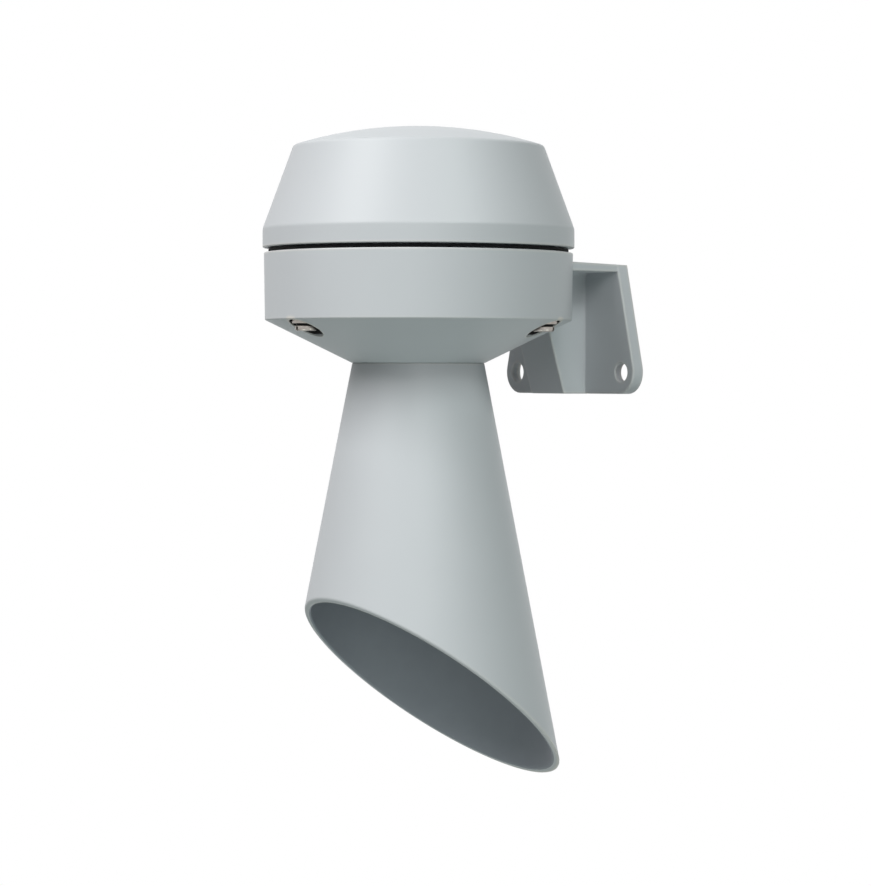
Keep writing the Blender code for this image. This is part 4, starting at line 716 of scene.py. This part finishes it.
# Black epoxy moulding compound of the transistor and the rectifier: matt charcoal with
# the 0.3 mm speckle of its silica filler, drawn at 0.6 mm.
black_epoxy = material_named("moulded black epoxy")
place = node(black_epoxy, "ShaderNodeTexCoord", {})
filler = node(black_epoxy, "ShaderNodeTexNoise",
              {"Vector": place.outputs["Object"], "Scale": 1 / (0.6 * MM), "Detail": 4.0})
tone = node(black_epoxy, "ShaderNodeMix",
            {0: filler.outputs["Fac"], 6: linear("#39393a"), 7: linear("#454546")},
            data_type="RGBA")
epoxy = node(black_epoxy, "ShaderNodeBsdfPrincipled",
             {"Base Color": tone.outputs[2], "Roughness": 0.6, "IOR": 1.55})
node(black_epoxy, "ShaderNodeOutputMaterial", {"Surface": epoxy.outputs[0]})
dressed(black_epoxy, "switching_transistor", "bridge_rectifier")

# ---------------------------------------------------------------------------------------
# Seal ring.  Black rubber ring that is squeezed in the seam between housing and cap.
# ---------------------------------------------------------------------------------------

SEAL_INNER_R, SEAL_R, SEAL_Z, SEAL_TOP_Z = 42.3, 43.7, 19.9, 20.7
seal_outline = [(SEAL_INNER_R, SEAL_Z), (SEAL_R, SEAL_Z), (SEAL_R, SEAL_TOP_Z),
                (SEAL_INNER_R, SEAL_TOP_Z)]
seal_ring = surface("visual_seal_ring", turned(rounded(seal_outline, (0.2, 0.3, 0.3, 0.2))),
                    joined=True)
smoothed(seal_ring)
finished(seal_ring, black_rubber, "housing_body", "black_rubber", "seal_ring")

# ---------------------------------------------------------------------------------------
# Cap.  Cover of the same grey ABS with a short skirt, steep cone and shallow dome.  A lip
# inside the skirt centres it in the band, and three screws from below hold it down.
# ---------------------------------------------------------------------------------------

SKIRT_R, SKIRT_Z, CREASE_Z, CAP_TOP_R, CAP_RIM_Z, CAP_WALL = 45.4, 21.0, 26.5, 36.5, 50.7, 2.4
DOME_R, DOME_CENTRE_Z, DOME_EDGE_R = 122.80, -66.55, 34.9
INNER_DOME_R, INNER_CORNER_R, WAIST_R, WAIST_Z, LIP_TOP_Z = 33.4, 34.15, 40.4, 33.4, 26.0
LIP_R, LIP_INNER_R, LIP_FOOT_Z = 42.2, 40.2, 17.0


def dome(r, inset):
    """(r, z) points on the dome's sphere, moved in by an inset: z = centre + root(R^2 - r^2)."""
    return np.stack([r, DOME_CENTRE_Z + np.sqrt((DOME_R - inset) ** 2 - r ** 2)], -1)


outer_dome = dome(np.linspace(DOME_EDGE_R, 0, 24), 0.0)
inner_dome = dome(np.linspace(0, INNER_DOME_R, 20), CAP_WALL)
inner_corner = dome(np.array([INNER_CORNER_R]), CAP_WALL)[0]
crown = rounded([(LIP_INNER_R, LIP_FOOT_Z), (LIP_R, LIP_FOOT_Z), (LIP_R, SKIRT_Z),
                 (SKIRT_R, SKIRT_Z), (SKIRT_R, CREASE_Z), (CAP_TOP_R, CAP_RIM_Z),
                 tuple(outer_dome[0]), tuple(inner_dome[-1]), tuple(inner_corner),
                 (WAIST_R, WAIST_Z), (LIP_INNER_R, LIP_TOP_Z)],
                (0.4, 0.4, 0.2, 0.35, 0.45, 0.7, 0, 0, 0.3, 0, 0))
# The crown is a closed ring with eight points at each corner; opened between its two dome
# ends, it is run in to the axis
POINTS_A_CORNER = 8
cut_at = int(np.argmin(np.abs(crown - outer_dome[0]).sum(1)))
opened = np.roll(crown, -cut_at - POINTS_A_CORNER, 0)[:-POINTS_A_CORNER]
cap_outline = np.concatenate([inner_dome[:-1], opened, outer_dome])
cap = surface("visual_cap", turned(cap_outline))
smoothed(cap)
finished(cap, grey_abs, "housing_body", "grey_plastic", "cap")

# ---------------------------------------------------------------------------------------
# Cover screws.  Slotted cheese-head screws of turned, zinc-plated steel, each with a captive
# washer, put in from below and deep in the pockets of the underside.
# ---------------------------------------------------------------------------------------

HEAD_R, HEAD_Z, HEAD_TOP_Z, SHANK_R = 3.15, -3.4, -2.0, 1.9
WASHER_R, WASHER_Z, WASHER_TOP_Z = 4.0, -1.3, -0.1
POINT_R, POINT_Z, TIP_Z = 0.9, 22.4, 24.3
SLOT_HALF, SLOT_REACH, SLOT_FOOT_Z, SLOT_TOP_Z = 0.5, 6.0, -5.0, -2.2
screw_outline = [
    (0, HEAD_Z), (HEAD_R, HEAD_Z), (HEAD_R, HEAD_TOP_Z), (SHANK_R, HEAD_TOP_Z), (SHANK_R, WASHER_Z),
    (WASHER_R, WASHER_Z), (WASHER_R, WASHER_TOP_Z), (SHANK_R, WASHER_TOP_Z),
    (SHANK_R, POINT_Z), (POINT_R, TIP_Z), (0, TIP_Z)]
screw_reach = (0, 0.575, 0.15, 0.1, 0.1, 0.15, 0.15, 0.1, 0.3, 0.3, 0)

# Zinc-plated steel, greyer and darker than the bright plating, with a warm cast, its
# gloss broken by a bloom of about 1 mm.
dull_zinc = material_named("darker grey zinc-plated steel")
place = node(dull_zinc, "ShaderNodeTexCoord", {})
bloom = node(dull_zinc, "ShaderNodeTexNoise",
             {"Vector": place.outputs["Object"], "Scale": 1 / (1.0 * MM), "Detail": 2.0})
tone = node(dull_zinc, "ShaderNodeMix",
            {0: bloom.outputs["Fac"], 6: linear("#98928c"), 7: linear("#aca7a2")}, data_type="RGBA")
polish = node(dull_zinc, "ShaderNodeMapRange",
              {"Value": bloom.outputs["Fac"], "To Min": 0.3, "To Max": 0.46})
steel = node(dull_zinc, "ShaderNodeBsdfPrincipled", {
    "Base Color": tone.outputs[2], "Metallic": 1.0, "Roughness": polish.outputs["Result"]})
node(dull_zinc, "ShaderNodeOutputMaterial", {"Surface": steel.outputs[0]})

for number, ((x, y), degrees) in enumerate(zip(spots, SCREW_ANGLES), start=1):
    screw = surface(f"visual_cover_screw_{number}",
                    turned(rounded(screw_outline, screw_reach), 64, centre=(x, y, 0)))
    along = np.array([np.cos(np.radians(degrees)), np.sin(np.radians(degrees))])
    across = np.array([-along[1], along[0]])
    slot_outline = np.array([(x, y) + a * SLOT_REACH * along + b * SLOT_HALF * across
                             for a, b in ((-1, -1), (1, -1), (1, 1), (-1, 1))])
    slot_tool = surface(f"slot_{number}", carried(slot_outline, [SLOT_FOOT_Z, SLOT_TOP_Z], "Z"))
    smoothed(moulded(screw, [("DIFFERENCE", slot_tool)]))
    finished(screw, dull_zinc, "housing_body", "plated_steel", f"cover_screw_{number}")

# ---------------------------------------------------------------------------------------
# Screw bushes and collars.  Black rubber put in each pocket as painted shade, darkening
# the pocket's walls and the gap between screw head and washer: a bush that lines the pocket,
# cut off level with the cone, and a collar between head and washer.
# ---------------------------------------------------------------------------------------

BUSH_R, BUSH_BORE_R, BUSH_HOLE_R, BUSH_Z, BUSH_STEP_Z, BUSH_TOP_Z = 4.85, 4.4, 2.3, -4.3, 0.1, 0.55
COLLAR_R, COLLAR_BORE_R = 2.8, 1.95
TRIM_R, TRIM_Z, TRIM_LIFT, TRIM_TOP_Z = BAND_FOOT_R - 0.4, NECK_Z + 0.5, 0.3, 5.0
bush_outline = rounded([
    (BUSH_HOLE_R, BUSH_STEP_Z), (BUSH_BORE_R, BUSH_STEP_Z), (BUSH_BORE_R, BUSH_Z),
    (BUSH_R, BUSH_Z), (BUSH_R, BUSH_TOP_Z), (BUSH_HOLE_R, BUSH_TOP_Z)],
    (0.1, 0.1, 0.15, 0.15, 0.1, 0.1))
collar_outline = rounded([(COLLAR_BORE_R, HEAD_TOP_Z), (COLLAR_R, HEAD_TOP_Z),
                          (COLLAR_R, WASHER_Z), (COLLAR_BORE_R, WASHER_Z)], (0.1, 0.2, 0.2, 0.1))
above_cone = [(0, TRIM_Z), (NECK_R, TRIM_Z), (TRIM_R, cone_z(TRIM_R) + TRIM_LIFT),
              (TRIM_R, TRIM_TOP_Z), (0, TRIM_TOP_Z)]
# Black rubber linings that darken each pocket as painted shade
for number, (x, y) in enumerate(spots, start=1):
    shade_bush = surface(f"visual_screw_shade_bush_{number}", turned(bush_outline, 64, centre=(x, y, 0)),
                   joined=True)
    trim = surface(f"bush_trim_{number}", turned(above_cone, 128))
    smoothed(moulded(shade_bush, [("INTERSECT", trim)]))
    shade_collar = surface(f"visual_screw_shade_collar_{number}", turned(collar_outline, 64, centre=(x, y, 0)),
                     joined=True)
    smoothed(shade_collar)
    for piece in (shade_bush, shade_collar):
        piece.data.materials.clear()
        piece.data.materials.append(black_rubber)
        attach(piece, "housing_body")

# ---------------------------------------------------------------------------------------
# The studio.  A plain pale floor well below the horn, which hangs as if on its wall; soft
# lights in front, at the right and behind, two small low ones for the underside, and
# white surroundings.
# ---------------------------------------------------------------------------------------

GROUND_Z, GROUND_REACH, GROUND_THICKNESS = -450.0, 1600.0, 5.0


def shown(material):
    """1 for a ray that comes from the camera, a reflection or a clear body, otherwise 0."""
    path = node(material, "ShaderNodeLightPath", {})
    seen = node(material, "ShaderNodeMath", {
        0: path.outputs["Is Camera Ray"], 1: path.outputs["Is Glossy Ray"]}, operation="MAXIMUM")
    return node(material, "ShaderNodeMath", {
        0: seen.outputs[0], 1: path.outputs["Is Transmission Ray"]}, operation="MAXIMUM").outputs[0]


# A flat round slab, its top drawn as rings from the middle out
ground_r = np.linspace(0, GROUND_REACH, 9)
ground_top = np.stack([ground_r, np.full_like(ground_r, GROUND_Z)], -1)
ground_foot = ground_top[::-1] - (0, GROUND_THICKNESS)
floor = surface("floor", np.concatenate([turned(ground_top), turned(ground_foot)]))
# Matt pale paint with a shadow on it for the camera and for reflections; what it throws
# back on the horn is a mid grey, as a floor that far below gives
floor_paint = material_named("matt pale floor paint")
paint = node(floor_paint, "ShaderNodeBsdfDiffuse", {"Color": linear("#a8a8a7")})
lift = node(floor_paint, "ShaderNodeEmission", {"Color": linear("#ffffff"), "Strength": 0.45})
lifted = node(floor_paint, "ShaderNodeAddShader", {0: paint.outputs[0], 1: lift.outputs[0]})
bounce = node(floor_paint, "ShaderNodeBsdfDiffuse", {"Color": linear("#4e5654")})
either = node(floor_paint, "ShaderNodeMixShader",
              {0: shown(floor_paint), 1: bounce.outputs[0], 2: lifted.outputs[0]})
node(floor_paint, "ShaderNodeOutputMaterial", {"Surface": either.outputs[0]})
floor.data.materials.append(floor_paint)

world = bpy.data.worlds.new("white surroundings")
bpy.context.scene.world = world
world.use_nodes = True
world.node_tree.nodes.clear()
fill = node(world, "ShaderNodeBackground", {"Color": linear("#f2fffb"), "Strength": 0.03})
backdrop = node(world, "ShaderNodeBackground", {"Color": linear("#ffffff"), "Strength": 1.0})
either = node(world, "ShaderNodeMixShader",
              {0: shown(world), 1: fill.outputs[0], 2: backdrop.outputs[0]})
node(world, "ShaderNodeOutputWorld", {"Surface": either.outputs[0]})


HORN_MIDDLE = Vector((0, -0.06, -0.03))


def softbox(name, bearing, height, distance, size, watts, tint="#ffffff", mirrored=True):
    """Square area light that looks at the horn from a bearing and height in degrees.

    Its place is the horn's middle + distance * (sin b cos h, -cos b cos h, sin h): bearing
    0 is straight in front of the wall, 90 to the right as seen facing it.  The distance
    and size are in metres.  One that isn't mirrored lights the horn without showing in it.
    """
    b, h = np.radians(bearing), np.radians(height)
    out = Vector((np.sin(b) * np.cos(h), -np.cos(b) * np.cos(h), np.sin(h)))
    lamp = bpy.data.lights.new(name, "AREA")
    lamp.shape, lamp.size, lamp.energy, lamp.color = "SQUARE", size, watts, linear(tint)[:3]
    made = bpy.data.objects.new(name, lamp)
    bpy.context.collection.objects.link(made)
    made.location = HORN_MIDDLE + out * distance
    made.rotation_euler = out.to_track_quat("Z", "Y").to_euler()
    made.visible_camera, made.visible_glossy = False, mirrored


softbox("key softbox", 0.0, 45.0, 1.3, 0.7, 15.2)
softbox("right softbox", 60.0, 25.0, 1.3, 0.5, 3.7)
softbox("right rear softbox", 90.0, 38.0, 1.3, 0.35, 4.2, "#f4fffc")
softbox("low right reflector", 100.0, -32.0, 0.6, 0.25, 0.7, "#f2fffb")
softbox("low front reflector", 10.0, -62.0, 0.42, 0.18, 0.3, "#f2fffb")
softbox("back softbox", 215.0, 10.0, 1.3, 0.8, 8.5, mirrored=False)

# ---------------------------------------------------------------------------------------
# Camera.  A long lens level with the horn's neck, about 54 degrees round from the front
# and 0.93 m away, turned a little off the horn's axis.
# ---------------------------------------------------------------------------------------

BEARING, DISTANCE, HEIGHT = np.radians(54.32), 932.1, -15.17
yaw, pitch, roll = BEARING - np.radians(0.313), np.radians(-1.265), np.radians(0.144)
ahead = np.array([-np.sin(yaw) * np.cos(pitch), np.cos(yaw) * np.cos(pitch), np.sin(pitch)])
right = np.cross(ahead, (0, 0, 1))
right /= np.linalg.norm(right)
upward = np.cross(right, ahead)
right, upward = (right * np.cos(roll) + upward * np.sin(roll),
                 -right * np.sin(roll) + upward * np.cos(roll))
lens = bpy.data.cameras.new("camera")
lens.lens, lens.sensor_width, lens.clip_end = 129.8, 36.0, 20.0
camera = bpy.data.objects.new("camera", lens)
bpy.context.collection.objects.link(camera)
station = (np.array([np.sin(BEARING) * DISTANCE, -np.cos(BEARING) * DISTANCE, HEIGHT])
           + HOUSING_PLACE)
pose = Matrix.Identity(4)
for column, vector in enumerate((right, upward, -ahead, station * MM)):
    pose.col[column][:3] = vector
camera.matrix_world = pose
bpy.context.scene.camera = camera
bpy.context.scene.view_settings.view_transform = "Standard"
